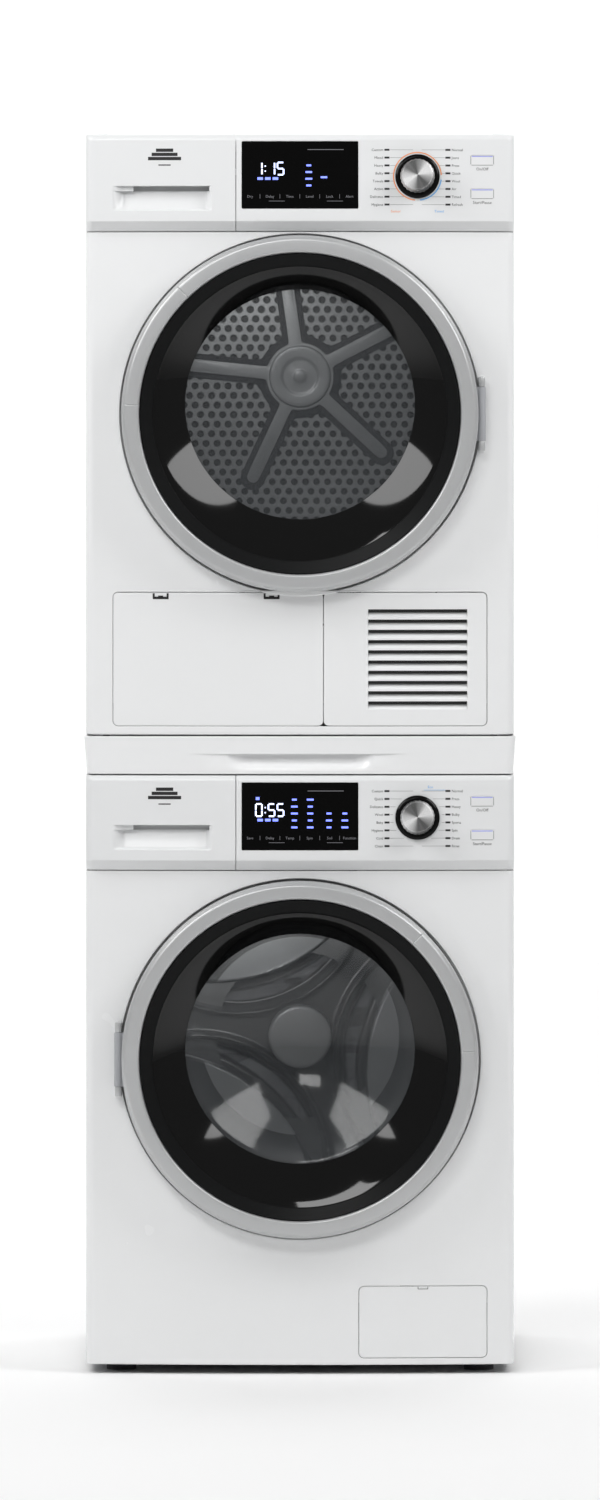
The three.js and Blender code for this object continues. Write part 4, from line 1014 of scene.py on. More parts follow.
# ---- Round door ----
@dataclass
class Door:
    """The round door: silver ring with a grip, charcoal bevel, black dish, window and inner frame."""

    machine: Machine
    grip: tuple[float, float]
    bowl: float
    pin_x: float = 252 * MM
    pin_back: float = 22 * MM
    knuckle_half: float = 37.5 * MM

    def build(self) -> None:
        """Make every piece of the door."""
        self.ring()
        self.bezel()
        self.window()
        self.frame()
        self.hinge_lugs()

    def ring(self) -> None:
        """A U-shaped channel turned about the door's axis.

        Between the grip's two angles its side wall is pushed in, and at each of the two angles a
        fine groove crosses the front: both are smooth bumps over the angle.
        """
        m = self.machine
        r, f, b = m.door_r, m.ring_front, m.ring_back
        outer = [(r, b), (r, f + 9 * MM), (r - 5 * MM, f + 0.6 * MM), (m.ring_inner + 2 * MM, f),
                 (m.ring_inner, f + 8 * MM)]
        inner = [(m.ring_inner + 2 * MM, f + 8 * MM), (m.ring_inner + 4 * MM, f + 2.6 * MM),
                 (r - 7 * MM, f + 3 * MM),
                 (r - 2.5 * MM, f + 10 * MM), (r - 2.5 * MM, b)]
        profile = rounded(outer + inner, 3.0 * MM, 6)
        even = around(240)
        seams = np.radians(self.grip)
        near = np.concatenate([s + np.linspace(-0.012, 0.012, 13) for s in seams])
        angle = np.unique(np.concatenate([even, near]))
        rr, yy = profile[:, 0][:, None] + 0 * angle, profile[:, 1][:, None] + 0 * angle
        groove = sum(np.exp(-((angle - s) * r / (0.55 * MM)) ** 2) for s in seams)
        facing = smoothstep(-yy, -(f + 6 * MM), -(f + 2 * MM)) * (rr > m.ring_inner - 1 * MM)
        yy = yy + groove * facing * 1.0 * MM
        start = smoothstep(angle, seams[0] + 0.03, seams[0] + 0.1)
        inside = start * (1 - smoothstep(angle, seams[1] - 0.1, seams[1] - 0.03))
        rear = smoothstep(yy, f + 14 * MM, f + 22 * MM) * (rr > r - 4 * MM)
        rr = rr - inside * rear * 11 * MM
        x, z = rr * np.cos(angle), m.door_z + rr * np.sin(angle)
        body = Body().grid(np.stack([x, yy, z], -1), wrap_rows=True, wrap_cols=True)
        piece = body.build(f"{m.name}_door_ring_shell", [Finish.SILVER, Finish.EDGE])
        hand_in(piece, f"{m.name}_door", [f"{m.name}_door_ring"])
        # A black band round the ring's rear outer side: a painted dark reflection that shows as a thin dark
        # line at the ring's top and bottom.
        band = rounded([(r + 0.25 * MM, b), (r + 0.25 * MM, b - 9 * MM), (r - 1 * MM, b - 9 * MM),
                        (r - 1 * MM, b)], 0.5 * MM, 3)
        edge = Body().grid(revolve(band, (0.0, m.door_z)), wrap_rows=True, wrap_cols=True)
        hand_in(edge.build(f"{m.name}_door_painted_reflection_band", [Finish.EDGE]), f"{m.name}_door")

    def bezel(self) -> None:
        """The bevel band and the hollow dish, its inner circles lifted towards the window."""
        m = self.machine
        f, glass = m.ring_front, m.y - 4 * MM
        band = [(m.ring_inner - 0.6 * MM, f + 3.4 * MM), (m.dish_r + 1.5 * MM, f + 9.5 * MM),
                (m.dish_r, f + 11.5 * MM)]
        t = np.linspace(0, 1, 14)
        cone_r = m.dish_r + (m.window_r - m.dish_r) * t
        cone_y = f + 11.5 * MM + (glass - f - 11.5 * MM) * (t ** 1.12)
        dish = np.stack([cone_r, cone_y], -1)[1:]
        back = [(m.window_r - 0.4 * MM, glass + 1.5 * MM), (m.window_r + 2 * MM, glass + 3.2 * MM),
                (m.dish_r + 2 * MM, f + 15 * MM), (m.ring_inner - 0.6 * MM, f + 8.5 * MM)]
        profile = np.concatenate([band, dish, back])
        points = revolve(profile, (0.0, m.door_z), 224, m.lift)
        rows, cols = points.shape[:2]
        body = Body().grid(points, wrap_rows=True, wrap_cols=True)
        body.slots[0] = (np.arange(rows).repeat(cols) >= 2).astype(int)
        body.slots[0][np.arange(rows).repeat(cols) > len(band) + len(dish) + 1] = 0
        piece = body.build(f"{m.name}_door_dish", [Finish.CHARCOAL, Finish.BLACK], crease=25)
        hand_in(piece, f"{m.name}_door", [f"{m.name}_door_bezel"])

    def window(self) -> None:
        """The pressed glass: a flange and a bowl that reaches into the drum mouth."""
        m, deep = self.machine, self.bowl
        y, thick = m.y, 4.5 * MM
        t = np.linspace(0, 1, 30)
        r = (m.window_r - 2 * MM) * (1 - t)
        y_in = y + 2.5 * MM + (deep - 2.5 * MM) * np.sin(t * math.pi / 2)
        front = np.concatenate([[(m.window_r + 6 * MM, y + 2.5 * MM)], np.stack([r, y_in], -1)])
        back = np.stack([r, y_in + thick + 0.4 * MM * (1 - t)], -1)[::-1]
        back = np.concatenate([back, [(m.window_r + 6 * MM, y + 7.4 * MM)]])
        points = revolve(np.concatenate([front, back]), (0.0, m.door_z), 192, m.lift)
        body = Body().grid(points, wrap_rows=True, wrap_cols=True)
        piece = body.build(f"{m.name}_door_window", [Finish.GLASS], crease=60)
        hand_in(piece, f"{m.name}_door", [f"{m.name}_door_glass"])

    def frame(self) -> None:
        """The inner frame that holds the glass, with the latch hook and the hinge knuckle."""
        m = self.machine
        f, y, s = m.ring_front, m.y, m.hinge_side
        outer = m.door_r - 3.1 * MM
        profile = rounded([(m.window_r + 8 * MM, m.ring_back), (m.window_r + 8 * MM, y - 3.2 * MM),
                           (m.dish_r, f + 16.4 * MM), (m.dish_r + 6 * MM, f + 16.4 * MM),
                           (m.dish_r + 6 * MM, y - 4 * MM),
                           (outer, y - 4 * MM), (outer, m.ring_back)], 1.5 * MM, 4)
        body = Body().grid(revolve(profile, (0.0, m.door_z), 192, m.lift), wrap_rows=True, wrap_cols=True)
        pin_y, half = y - self.pin_back, self.knuckle_half
        foot, top = m.door_z - half, m.door_z + half
        knuckle = rounded([(3.5 * MM, foot), (5.6 * MM, foot), (5.6 * MM, top), (3.5 * MM, top)], 0.7 * MM,
                          3)
        body.grid(upright(knuckle, s * self.pin_x, pin_y, 32), wrap_rows=True, wrap_cols=True)
        arm = bar(sorted((s * 236.5 * MM, s * 248 * MM)), (pin_y - 3 * MM, pin_y + 3 * MM), m.door_z, half)
        web = bar(sorted((s * 236.5 * MM, s * 241 * MM)), (pin_y - 3 * MM, y - 3 * MM), m.door_z, half)
        hook = bar(sorted((-s * 200 * MM, -s * 206 * MM)), (y, y + 16 * MM), m.door_z, 8 * MM)
        nose = bar(sorted((-s * 197 * MM, -s * 206 * MM)), (y + 12 * MM, y + 18 * MM), m.door_z, 8 * MM)
        for points in (arm, web, hook, nose):
            body.grid(points, wrap_cols=True)
        piece = body.build(f"{m.name}_door_inner_frame", [Finish.GREY_PART])
        hand_in(piece, f"{m.name}_door", [f"{m.name}_door_frame"])

    def hinge_lugs(self) -> None:
        """The fixed bracket: a base plate, two lugs with round noses and the pin."""
        m, s = self.machine, self.machine.hinge_side
        _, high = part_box(f"{m.name}_door_hinge")
        pin_x, pin_y = s * self.pin_x, m.y - self.pin_back
        body = Body()
        plate_x = sorted((pin_x - s * 4 * MM, pin_x + s * 4.5 * MM))
        plate = Body().grid(bar(plate_x, (m.y - 4.2 * MM, high[1]), m.door_z, 53.5 * MM), wrap_cols=True)
        hand_in(plate.build(f"{m.name}_hinge_plate", [Finish.ENAMEL]), "stack")
        nose = np.linspace(math.pi, 2 * math.pi, 17)
        outline = np.concatenate([np.stack([4.7 * MM * np.cos(nose), 4.7 * MM * np.sin(nose)], -1),
                                  [(4.7 * MM, 18 * MM), (-4.7 * MM, 18 * MM)]])
        for side in (-1, 1):
            scale = np.array([0.001, 0.94, 1.0, 1.0, 0.94, 0.001])
            z = np.array([-6.5, -6.5, -5.9, 5.9, 6.5, 6.5]) * MM
            x = pin_x + outline[None, :, 0] * scale[:, None]
            y = pin_y + outline[None, :, 1] * scale[:, None]
            zz = m.door_z + side * 44.5 * MM + z[:, None] + 0 * x
            body.grid(np.stack([x, y, zz], -1), wrap_cols=True)
        pin = np.array([(0.0, -50), (2.9, -50), (2.9, 50), (0.0, 50)]) * MM + [0.0, m.door_z]
        body.grid(upright(pin, pin_x, pin_y, 24), wrap_cols=True)
        hand_in(body.build(f"{m.name}_hinge_bracket", [Finish.SILVER]), "stack",
                [f"{m.name}_door_hinge"])


def bar(xs: Sequence[float], ys: Sequence[float], z: float, half: float, edge: float = 0.6 * MM) -> Array:
    """A block with softened edges, as rows of a rounded outline that close on both ends.

    Args:
        xs: its two ends in x.
        ys: its two ends in y.
        z: the height of its middle.
        half: half its height.
        edge: how far its edges are softened.

    Returns:
        (rows, n, 3) points, closed on both ends.
    """
    cx, cy = (xs[0] + xs[1]) / 2, (ys[0] + ys[1]) / 2
    shape = Outline(0.0, 0.0, xs[1] - xs[0], ys[1] - ys[0], min(edge, (xs[1] - xs[0]) / 3))
    angle = ray_angles(shape.corners(), count=4)
    grow = np.array([-0.9, -edge, 0.0, 0.0, -edge, -0.9])
    rows = [shape.at(angle, g) if g > -0.5 else np.zeros((len(angle), 2)) for g in grow]
    z_rows = z + np.array([-half, -half, -half + edge, half - edge, half, half])
    return np.stack([np.stack([cx + r[:, 0], cy + r[:, 1], np.full(len(angle), h)], -1) for r,
                     h in zip(rows, z_rows)])


# ---- Artwork ----
class Artwork:
    """Flat printed or lit marks laid on a front."""

    def __init__(self, front: Front, height: float = 0.12 * MM) -> None:
        """Start empty.

        Args:
            front: the surface that carries the marks.
            height: how far they stand above it.
        """
        self.front = front
        self.height = height
        self.body = Body()

    def dash(self, u: float, z: float, width: float, height: float, slot: int = 0) -> None:
        """A small bar about a point.

        Args:
            u: its middle across.
            z: its middle's height.
            width: its width.
            height: its height.
            slot: material slot.
        """
        columns = max(2, int(width / (6 * MM)) + 1)
        us = np.linspace(u - width / 2, u + width / 2, columns)
        grid = np.stack(np.meshgrid(us, [z - height / 2, z + height / 2]), -1).reshape(-1, 2)
        self.front.drawn(self.body, grid, quads(2, columns, False, False), self.height, slot)

    def stroke(self, path: Array, width: float, slot: int = 0) -> None:
        """A line of a width along a path of [u, z] points, offset along its normals.

        Args:
            path: (n, 2) points.
            width: the line's width.
            slot: material slot.
        """
        tangent = np.gradient(path, axis=0)
        normal = np.stack([-tangent[:, 1], tangent[:, 0]], -1)
        normal /= np.linalg.norm(normal, axis=1, keepdims=True)
        both = np.concatenate([path - normal * width / 2, path + normal * width / 2])
        self.front.drawn(self.body, both, quads(2, len(path), False, False), self.height, slot)

    def arc(self, u: float, z: float, r: float, start: float, end: float, width: float, slot: int) -> None:
        """An arc line between two angles in degrees."""
        a = np.radians(np.linspace(start, end, 48))
        self.stroke(np.stack([u + r * np.cos(a), z + r * np.sin(a)], -1), width, slot)

    def digit(self, figure: str, u: float, z: float, height: float, slot: int) -> None:
        """A seven-segment figure whose lower left corner is at u, z.

        Args:
            figure: the figure.
            u: its left edge.
            z: its foot.
            height: its height.
            slot: material slot.
        """
        lit = {"0": "abcdef", "1": "bc", "3": "abgcd", "5": "afgcd", "7": "abc", "2": "abged"}[figure]
        w, h, t = height * 0.5, height, height * 0.12
        places = {"a": (w / 2, h, w, t), "g": (w / 2, h / 2, w, t), "d": (w / 2, 0, w, t),
                  "f": (0, h * 0.75, t, h / 2),
                  "b": (w, h * 0.75, t, h / 2), "e": (0, h * 0.25, t, h / 2), "c": (w, h * 0.25, t, h / 2)}
        for name in lit:
            x, y, a, b = places[name]
            self.dash(u + x, z + y, a * 0.86 if a > b else a, b * 0.86 if b > a else b, slot)

    def word(self, text: str, u: float, z: float, size: float, align: str = "LEFT", slot: int = 0) -> None:
        """A plain caption, from a text curve made into a mesh.

        Args:
            text: the caption.
            u: where it is anchored.
            z: the height of its middle.
            size: letter size.
            align: LEFT, CENTER or RIGHT.
            slot: material slot.
        """
        curve = bpy.data.curves.new("caption", "FONT")
        curve.body, curve.size, curve.align_x, curve.resolution_u = text, size, align, 2
        holder = bpy.data.objects.new("caption", curve)
        mesh = holder.to_mesh()
        points = np.empty(len(mesh.vertices) * 3)
        mesh.vertices.foreach_get("co", points)
        mesh.calc_loop_triangles()
        faces = np.empty(len(mesh.loop_triangles) * 3, np.int32)
        mesh.loop_triangles.foreach_get("vertices", faces)
        placed = points.reshape(-1, 3)[:, :2] + [u, z - size * 0.35]
        self.front.drawn(self.body, placed, faces.reshape(-1, 3), self.height, slot)
        bpy.data.objects.remove(holder)
        bpy.data.curves.remove(curve)

    def build(self, name: str, finishes: Sequence[Finish], body: str, slot: str) -> None:
        """Make the marks one piece."""
        piece = self.body.build(name, finishes, merge=1e-7, face_front=True)
        hand_in(piece, body)


# ---- Controls ----
@dataclass
class Controls:
    """The fascia with its display, knob, buttons and printing, and the drawer or tank cover."""

    machine: Machine
    left_words: Sequence[str]
    right_words: Sequence[str]
    figures: str
    coloured_arcs: bool
    cover_body: str
    cover_nodes: Sequence[str]
    knob_x: float = 163 * MM
    led_rows: int = 8
    led_pitch: float = 10.88 * MM

    def __post_init__(self) -> None:
        """Work out the heights of the controls."""
        m = self.machine
        self.front = m.fascia
        self.display = box_outline(f"{m.name}_display", 1.5 * MM, -0.4 * MM)
        low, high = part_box(f"{m.name}_knob")
        self.knob_z = (low[2] + high[2]) / 2
        self.buttons = [box_outline(f"{m.name}_{word}_button", 1.6 * MM) for word in ("power", "start")]

    def build(self) -> None:
        """Make every piece of the controls."""
        self.cover()
        self.pull_cover()
        self.screen()
        self.knob()
        self.push_buttons()
        self.printing()

    def bands(self, body: Body, u: Array, low: float, high: float) -> None:
        """The edges below and above the face: underside, chamfer, and rounded top with its return.

        Args:
            body: the mesh that takes the strips.
            u: positions across.
            low: where the face begins.
            high: where it ends.
        """
        m, front = self.machine, self.front
        b, t = m.fascia_base, m.top
        foot = [(b + 0.2 * MM, 22 * MM), (b, 2 * MM), (b, 1 * MM), (b + 0.6 * MM, 0.2 * MM)]
        rise = [(z, 0.0) for z in np.linspace(b + 1.2 * MM, b + 12 * MM, 6)]
        knee = [(b + 13 * MM, 0), (b + 13.5 * MM, 0), (b + 14 * MM, 0), (b + 14.8 * MM, 0),
                (b + 15.5 * MM, 0), (low, 0)]
        front.strip(body, u, np.array(foot + rise + knee))
        crown = [(z, 0.0) for z in np.linspace(high, t - 8 * MM, 3)]
        crown += [(t - 5 * MM, 0), (t - 3.6 * MM, 0), (t - 2.4 * MM, 0), (t - 1.6 * MM, 0),
                  (t - 0.8 * MM, 0), (t - 0.3 * MM, 0.2 * MM),
                  (t, 1.2 * MM), (t, 30 * MM)]
        front.strip(body, u, np.array(crown))

    def cover(self) -> None:
        """The fascia right of the seam, with openings for display, knob shaft and buttons."""
        m, front, body = self.machine, self.front, Body()
        low, high = m.fascia_base + 18 * MM, m.top - 8.6 * MM
        left = m.seam
        right = front.reach
        u = across(front, left, right)
        self.bands(body, u, low, high)
        d = self.display
        past = d.u + d.width / 2 + 8 * MM
        gap = 0.5 * MM
        hole = Outline(d.u, d.z, d.width + gap, d.height + gap, 1.6 * MM)
        front.patch(body, (left, past, low, high), hole, 0.4 * MM, 4 * MM)
        shaft = Outline(self.knob_x, self.knob_z, 14 * MM, 14 * MM, 7 * MM)
        near = self.buttons[0].u - 26 * MM
        front.patch(body, (past, near, low, high), shaft, 0.5 * MM, 4 * MM, rows=14)
        far = self.buttons[0].u + 22 * MM
        middle = (self.buttons[0].z + self.buttons[1].z) / 2
        for button, z0, z1 in ((self.buttons[0], middle, high), (self.buttons[1], low, middle)):
            grown = Outline(button.u, button.z, button.width + gap, button.height + gap, 1.8 * MM)
            front.patch(body, (near, far, z0, z1), grown, 0.35 * MM, 4 * MM)
        front.relief(body, across(front, far, right), np.array([low, (low + high) / 2, high]), flush)
        piece = body.build(f"{m.name}_fascia_skin", [Finish.PLASTIC], face_front=True, wall=2.2 * MM)
        hand_in(piece, "stack", [f"{m.name}_fascia"])

    def pull_cover(self) -> None:
        """The cover of the drawer or tank with its finger scoop.

        The scoop's depth grows from nothing at its lower edge to full at the top, with a long ramp
        at the left end and a short one at the right; under its top lip lies a deeper slot.
        """
        m, front, body = self.machine, self.front, Body()
        low, high = m.fascia_base + 18 * MM, m.top - 8.6 * MM
        left, right = -front.reach, m.seam - 1 * MM
        self.bands(body, across(front, left, right), low, high)
        u0, u1 = -260.5 * MM, -122.5 * MM
        z0, z1 = m.fascia_base + 28 * MM, m.fascia_base + 63 * MM
        scoop = Outline((u0 + u1) / 2, (z0 + z1) / 2, u1 - u0, z1 - z0, 0.01 * MM)
        centre = np.array([scoop.u, scoop.z])
        box = (-front.half + front.corner + 4 * MM, right, low, high)
        angle = ray_angles(scoop.corners(), box_corners(box) - centre)
        flat = between(frame_at(angle, centre, box), scoop.at(angle), 10)
        body.grid(front.place(flat[..., 0], flat[..., 1], 0 * flat[..., 0]), wrap_cols=True)
        front.relief(body, across(front, left, box[0]), np.array([low, (low + high) / 2, high]), flush)
        slot_low = z1 - 7.2 * MM
        slot_u0, slot_u1 = u0 + 29.5 * MM, u1 - 3.5 * MM

        def depth(u: Array, z: Array) -> Array:
            """Ramp from the lower edge, then the slot.

            Args:
                u: positions across.
                z: heights.

            Returns:
                Distances behind the face.
            """
            rise = ((z - z0) / (slot_low - z0)).clip(0, 1)
            fall = 6.5 * MM * smoothstep(rise, 0.0, 0.12) + 9 * MM * rise
            scooped = fall * smoothstep(u, u0, u0 + 17 * MM) * (1 - smoothstep(u, u1 - 9 * MM, u1))
            above = z > slot_low + 0.2 * MM
            in_slot = above & (z < z1 - 0.2 * MM) & (u > slot_u0) & (u < slot_u1)
            edge = (u <= u0) | (u >= u1) | (z <= z0) | (z >= z1)
            plain = np.where(above, 0.4 * scooped, scooped)
            return np.where(edge, 0.0, np.where(in_slot, 24 * MM, plain))

        fine = 0.25 * MM
        ends = [slot_u0 - fine, slot_u0 + fine, slot_u1 - fine, slot_u1 + fine]
        us = np.unique(np.concatenate([np.linspace(u0, u1, 84), ends]))
        steps = [slot_low + 0.1 * MM, slot_low + 0.3 * MM, z1 - 3 * MM, z1 - 0.3 * MM, z1 - 0.1 * MM, z1]
        zs = np.unique(np.concatenate([np.linspace(z0, slot_low, 30), steps]))
        front.relief(body, us, zs, depth)
        piece = body.build(f"{m.name}_pull_cover", [Finish.PLASTIC], face_front=True, wall=1.6 * MM,
                           crease=32)
        hand_in(piece, self.cover_body, self.cover_nodes)

    def screen(self) -> None:
        """The glossy display plate with lit figures, bars and signs."""
        m, front, d = self.machine, self.front, self.display
        body = Body()
        front.plate(body, d, 0.1 * MM, 3 * MM, 0.5 * MM, rows=12)
        piece = body.build(f"{m.name}_display_plate", [Finish.SCREEN])
        hand_in(piece, "stack", [f"{m.name}_display"])
        art = Artwork(front, 0.22 * MM)
        left, top = d.u - d.width / 2, d.z + d.height / 2
        x = left + 19.5 * MM
        for figure in self.figures:
            if figure == ":":
                for rise in (5.0 * MM, 12.0 * MM):
                    art.dash(x + 0.6 * MM, top - 46.5 * MM + rise, 1.7 * MM, 1.7 * MM, 0)
                x += 5 * MM
                continue
            art.digit(figure, x, top - 46.5 * MM, 17 * MM, 0)
            x += 12.5 * MM
        for i in range(3):
            art.dash(left + 25.5 * MM + i * 10.6 * MM, top - 51.8 * MM, 7.6 * MM, 3.6 * MM, 1)
        columns = ((93.0, 4, 9.3), (114.0, 1, 0.0)) if self.coloured_arcs else (
            (73.0, 5, 9.6), (95.0, 5, 9.6), (121.0, 3, 9.6), (143.0, 3, 9.6))
        for place, rows, pitch in columns:
            start = 33.5 * MM if rows == 4 else (50.0 * MM if rows == 1 else (23.5 + (5 - rows) * 9.6) * MM)
            for row in range(rows):
                z = top - start - row * pitch * MM
                width = (9.5, 7.0, 8.4, 6.6, 9.0)[(row + int(place)) % 5] * MM
                art.dash(left + place * MM, z, width, 2.6 * MM, 1)
        if not self.coloured_arcs:
            art.dash(left + 22 * MM, top - 22 * MM, 5 * MM, 4 * MM, 1)
        words = ("Dry", "Delay", "Time", "Level", "Lock", "Alert") if self.coloured_arcs else (
            "Save", "Delay", "Temp", "Spin", "Soil", "Function")
        bottom = d.z - d.height / 2
        for i, word in enumerate(words):
            place = left + (11.5 + i * 27.6) * MM
            art.word(word, place, bottom + 17 * MM, 5.2 * MM, "CENTER", 2)
            if i:
                art.dash(place - 13.8 * MM, bottom + 17 * MM, 0.5 * MM, 6 * MM, 2)
        art.dash(left + d.width * 0.72, top - 11.5 * MM, 50 * MM, 0.9 * MM, 2)
        for share in (0.3, 0.8):
            art.dash(left + d.width * share, bottom + 10.5 * MM, 22 * MM, 0.6 * MM, 2)
        art.build(f"{m.name}_display_signs", [Finish.LIT_WHITE, Finish.LIT_BLUE, Finish.FAINT_WHITE],
                  "stack", "black_gloss")

    def knob(self) -> None:
        """Black skirt and spun cap: turned profiles, tipped with the fascia.

        The skirt between them has shallow scallops: its radius swings by a cosine of the angle.
        """
        m, front = self.machine, self.front
        seat = front.place(np.array([self.knob_x]), np.array([self.knob_z]))[0]
        up = front.place(np.array([self.knob_x]), np.array([self.knob_z + 0.02]))[0] - seat
        tilt = math.atan2(up[1], up[2])

        def placed(profile: Array, flute: float = 0.0) -> Array:
            """Turn a [radius, y] profile about the tipped axis through the seat.

            Args:
                profile: (n, 2) radii and y.
                flute: depth of the scallops.

            Returns:
                (n, steps, 3) points.
            """
            angle = around(144)[None]
            bare = profile[:, 0][:, None]
            r = bare - flute * (0.5 + 0.5 * np.cos(24 * angle)) * (bare > 0.02)
            x, y, z = r * np.cos(angle), profile[:, 1][:, None] + 0 * angle, r * np.sin(angle)
            c, s = math.cos(-tilt), math.sin(-tilt)
            return np.stack([seat[0] + x, seat[1] + y * c - z * s, seat[2] + y * s + z * c], -1)

        base = rounded([(0.0, -1.2), (30.8, -1.0), (30.8, -3.0), (27.5, -5.2), (24.0, -5.0), (0.0, -5.0)],
                       0.9, 4, False) * MM
        hand_in(Body().grid(placed(base), wrap_cols=True).build(f"{m.name}_knob_skirt", [Finish.EDGE]),
                f"{m.name}_knob")
        grip = rounded([(0.0, -4.9), (23.6, -4.9), (24.0, -8.0), (23.2, -9.5), (22.2, -21.0), (21.2, -23.6),
                        (20.4, -24.0),
                        (19.6, -23.6), (0.0, -24.5)], 0.8, 4, False) * MM
        cap = Body().grid(placed(grip, 0.55 * MM), wrap_cols=True).build(f"{m.name}_knob_cap", [], 50)
        cap.data.materials.append(SpunMetal(f"{m.name}_spun_metal_painted_rays",
                                            (seat[0], seat[2] + 1.5 * MM)).material())
        hand_in(cap, f"{m.name}_knob", [f"{m.name}_knob"])

    def push_buttons(self) -> None:
        """Two keys with a lit line along the top edge."""
        m, front = self.machine, self.front
        for word, shape in zip(("power", "start"), self.buttons):
            body = Body()
            front.plate(body, shape, 0.25 * MM, 4 * MM, 0.6 * MM)
            body_name = f"{m.name}_{word}_button"
            piece = body.build(f"{m.name}_{word}_key", [Finish.PLASTIC])
            hand_in(piece, body_name, [body_name])
            art = Artwork(front, 0.36 * MM)
            art.dash(shape.u, shape.z + shape.height / 2 - 1.4 * MM, shape.width - 2.5 * MM, 1.5 * MM)
            art.build(f"{m.name}_{word}_lit_line", [Finish.LIT_VIOLET], body_name, "black_gloss")

    def printing(self) -> None:
        """Indicator lights, leader lines, captions, arcs, painted shade round the keys and the plain
        emblem.
        """
        m, front = self.machine, self.front
        art = Artwork(front)
        x, z = self.knob_x, self.knob_z
        top = z + self.led_pitch * (self.led_rows - 1) / 2 - 1.2 * MM
        for row in range(self.led_rows):
            height = top - row * self.led_pitch
            for side, words in ((-1, self.left_words), (1, self.right_words)):
                place = x + side * 42.3 * MM
                art.dash(place, height, 7.0 * MM, 2.7 * MM, 0)
                spot = place + side * 5.2 * MM
                art.word(words[row], spot, height, 5.0 * MM, "RIGHT" if side < 0 else "LEFT", 1)
                inner = 34.0 * MM if 0 < row < self.led_rows - 1 else 8 * MM
                end = math.sqrt(max(inner ** 2 - (height - z) ** 2, (6 * MM) ** 2))
                start = 38 * MM
                if start - end > 2 * MM:
                    art.dash(x + side * (start + end) / 2, height, start - end, 0.45 * MM, 2)
        if self.coloured_arcs:
            art.arc(x, z, 33.2 * MM, 3, 264, 1.5 * MM, 3)
            art.arc(x, z, 33.2 * MM, -8, -84, 1.5 * MM, 4)
            art.word("Sensor", x - 30 * MM, z - 48.5 * MM, 5.0 * MM, "CENTER", 3)
            art.word("Timed", x + 30 * MM, z - 48.5 * MM, 5.0 * MM, "CENTER", 4)
        else:
            art.word("Eco", x + 18 * MM, z + 42.5 * MM, 5.0 * MM, "CENTER", 4)
            art.dash(x + 24 * MM, z + 38.2 * MM, 30 * MM, 0.5 * MM, 4)
        for shape, word in zip(self.buttons, ("On/Off", "Start/Pause")):
            art.word(word, shape.u, shape.z - shape.height / 2 - 5.4 * MM, 5.8 * MM, "CENTER", 1)
            # Pale lines beside and below each key: painted shade in the gap around it.
            for side in (-1, 1):
                art.dash(shape.u + side * (shape.width / 2 + 0.1 * MM), shape.z, 0.8 * MM,
                         shape.height - 2 * MM, 2)
            art.dash(shape.u, shape.z - shape.height / 2 - 0.1 * MM, shape.width - 2 * MM, 0.8 * MM, 2)
        finishes = [Finish.BLACK_INK, Finish.INK, Finish.FAINT_INK, Finish.ORANGE_INK, Finish.BLUE_INK]
        art.build(f"{m.name}_fascia_print", finishes, "stack", "dark_plastic")
        sign = Artwork(front)
        for i, width in enumerate((46, 36, 24)):
            sign.dash(-188 * MM, m.fascia_base + 101 * MM + i * 5.8 * MM, width * MM, 4.6 * MM)
        sign.dash(-188 * MM, m.fascia_base + 92 * MM, 17 * MM, 1.6 * MM, 1)
        sign.build(f"{m.name}_emblem", [Finish.BLACK_INK, Finish.INK], self.cover_body, "dark_plastic")


# ---- Drums ----
@dataclass
class Drum:
    """A drum shell turned about its axis, with three lifters."""

    machine: Machine
    segments: int = 160

    def __post_init__(self) -> None:
        """Read the drum's place."""
        m = self.machine
        low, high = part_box(f"{m.name}_drum")
        self.r = (high[2] - low[2]) / 2
        self.front = low[1]
        self.back = high[1]
        self.z = m.drum_z

    def lifters(self, body: Body, y0: float, y1: float, turn: float) -> None:
        """Three smooth ridges: a bell section [across, height] carried along Y with rounded ends.

        Args:
            body: the mesh that takes the grids.
            y0: the front end.
            y1: the rear end.
            turn: angle of the first, in radians.
        """
        t = np.linspace(-1, 1, 25)
        y = np.linspace(0, 1, 28)
        height = 46 * MM * np.exp(-(t * 1.9) ** 2)[None, :] * (1 - (2 * abs(y - 0.5)) ** 6)[:, None]
        wide = 38 * MM * t[None, :] + 0 * height
        yy = (y0 + (y1 - y0) * y)[:, None] + 0 * height
        for i in range(3):
            a = turn + i * 2 * math.pi / 3
            inward = self.r - 2.2 * MM - height - (1 - np.cos(wide / self.r)) * self.r
            x = inward * math.cos(a) - wide * math.sin(a)
            z = self.z + inward * math.sin(a) + wide * math.cos(a)
            body.grid(np.stack([x, yy, z], -1))


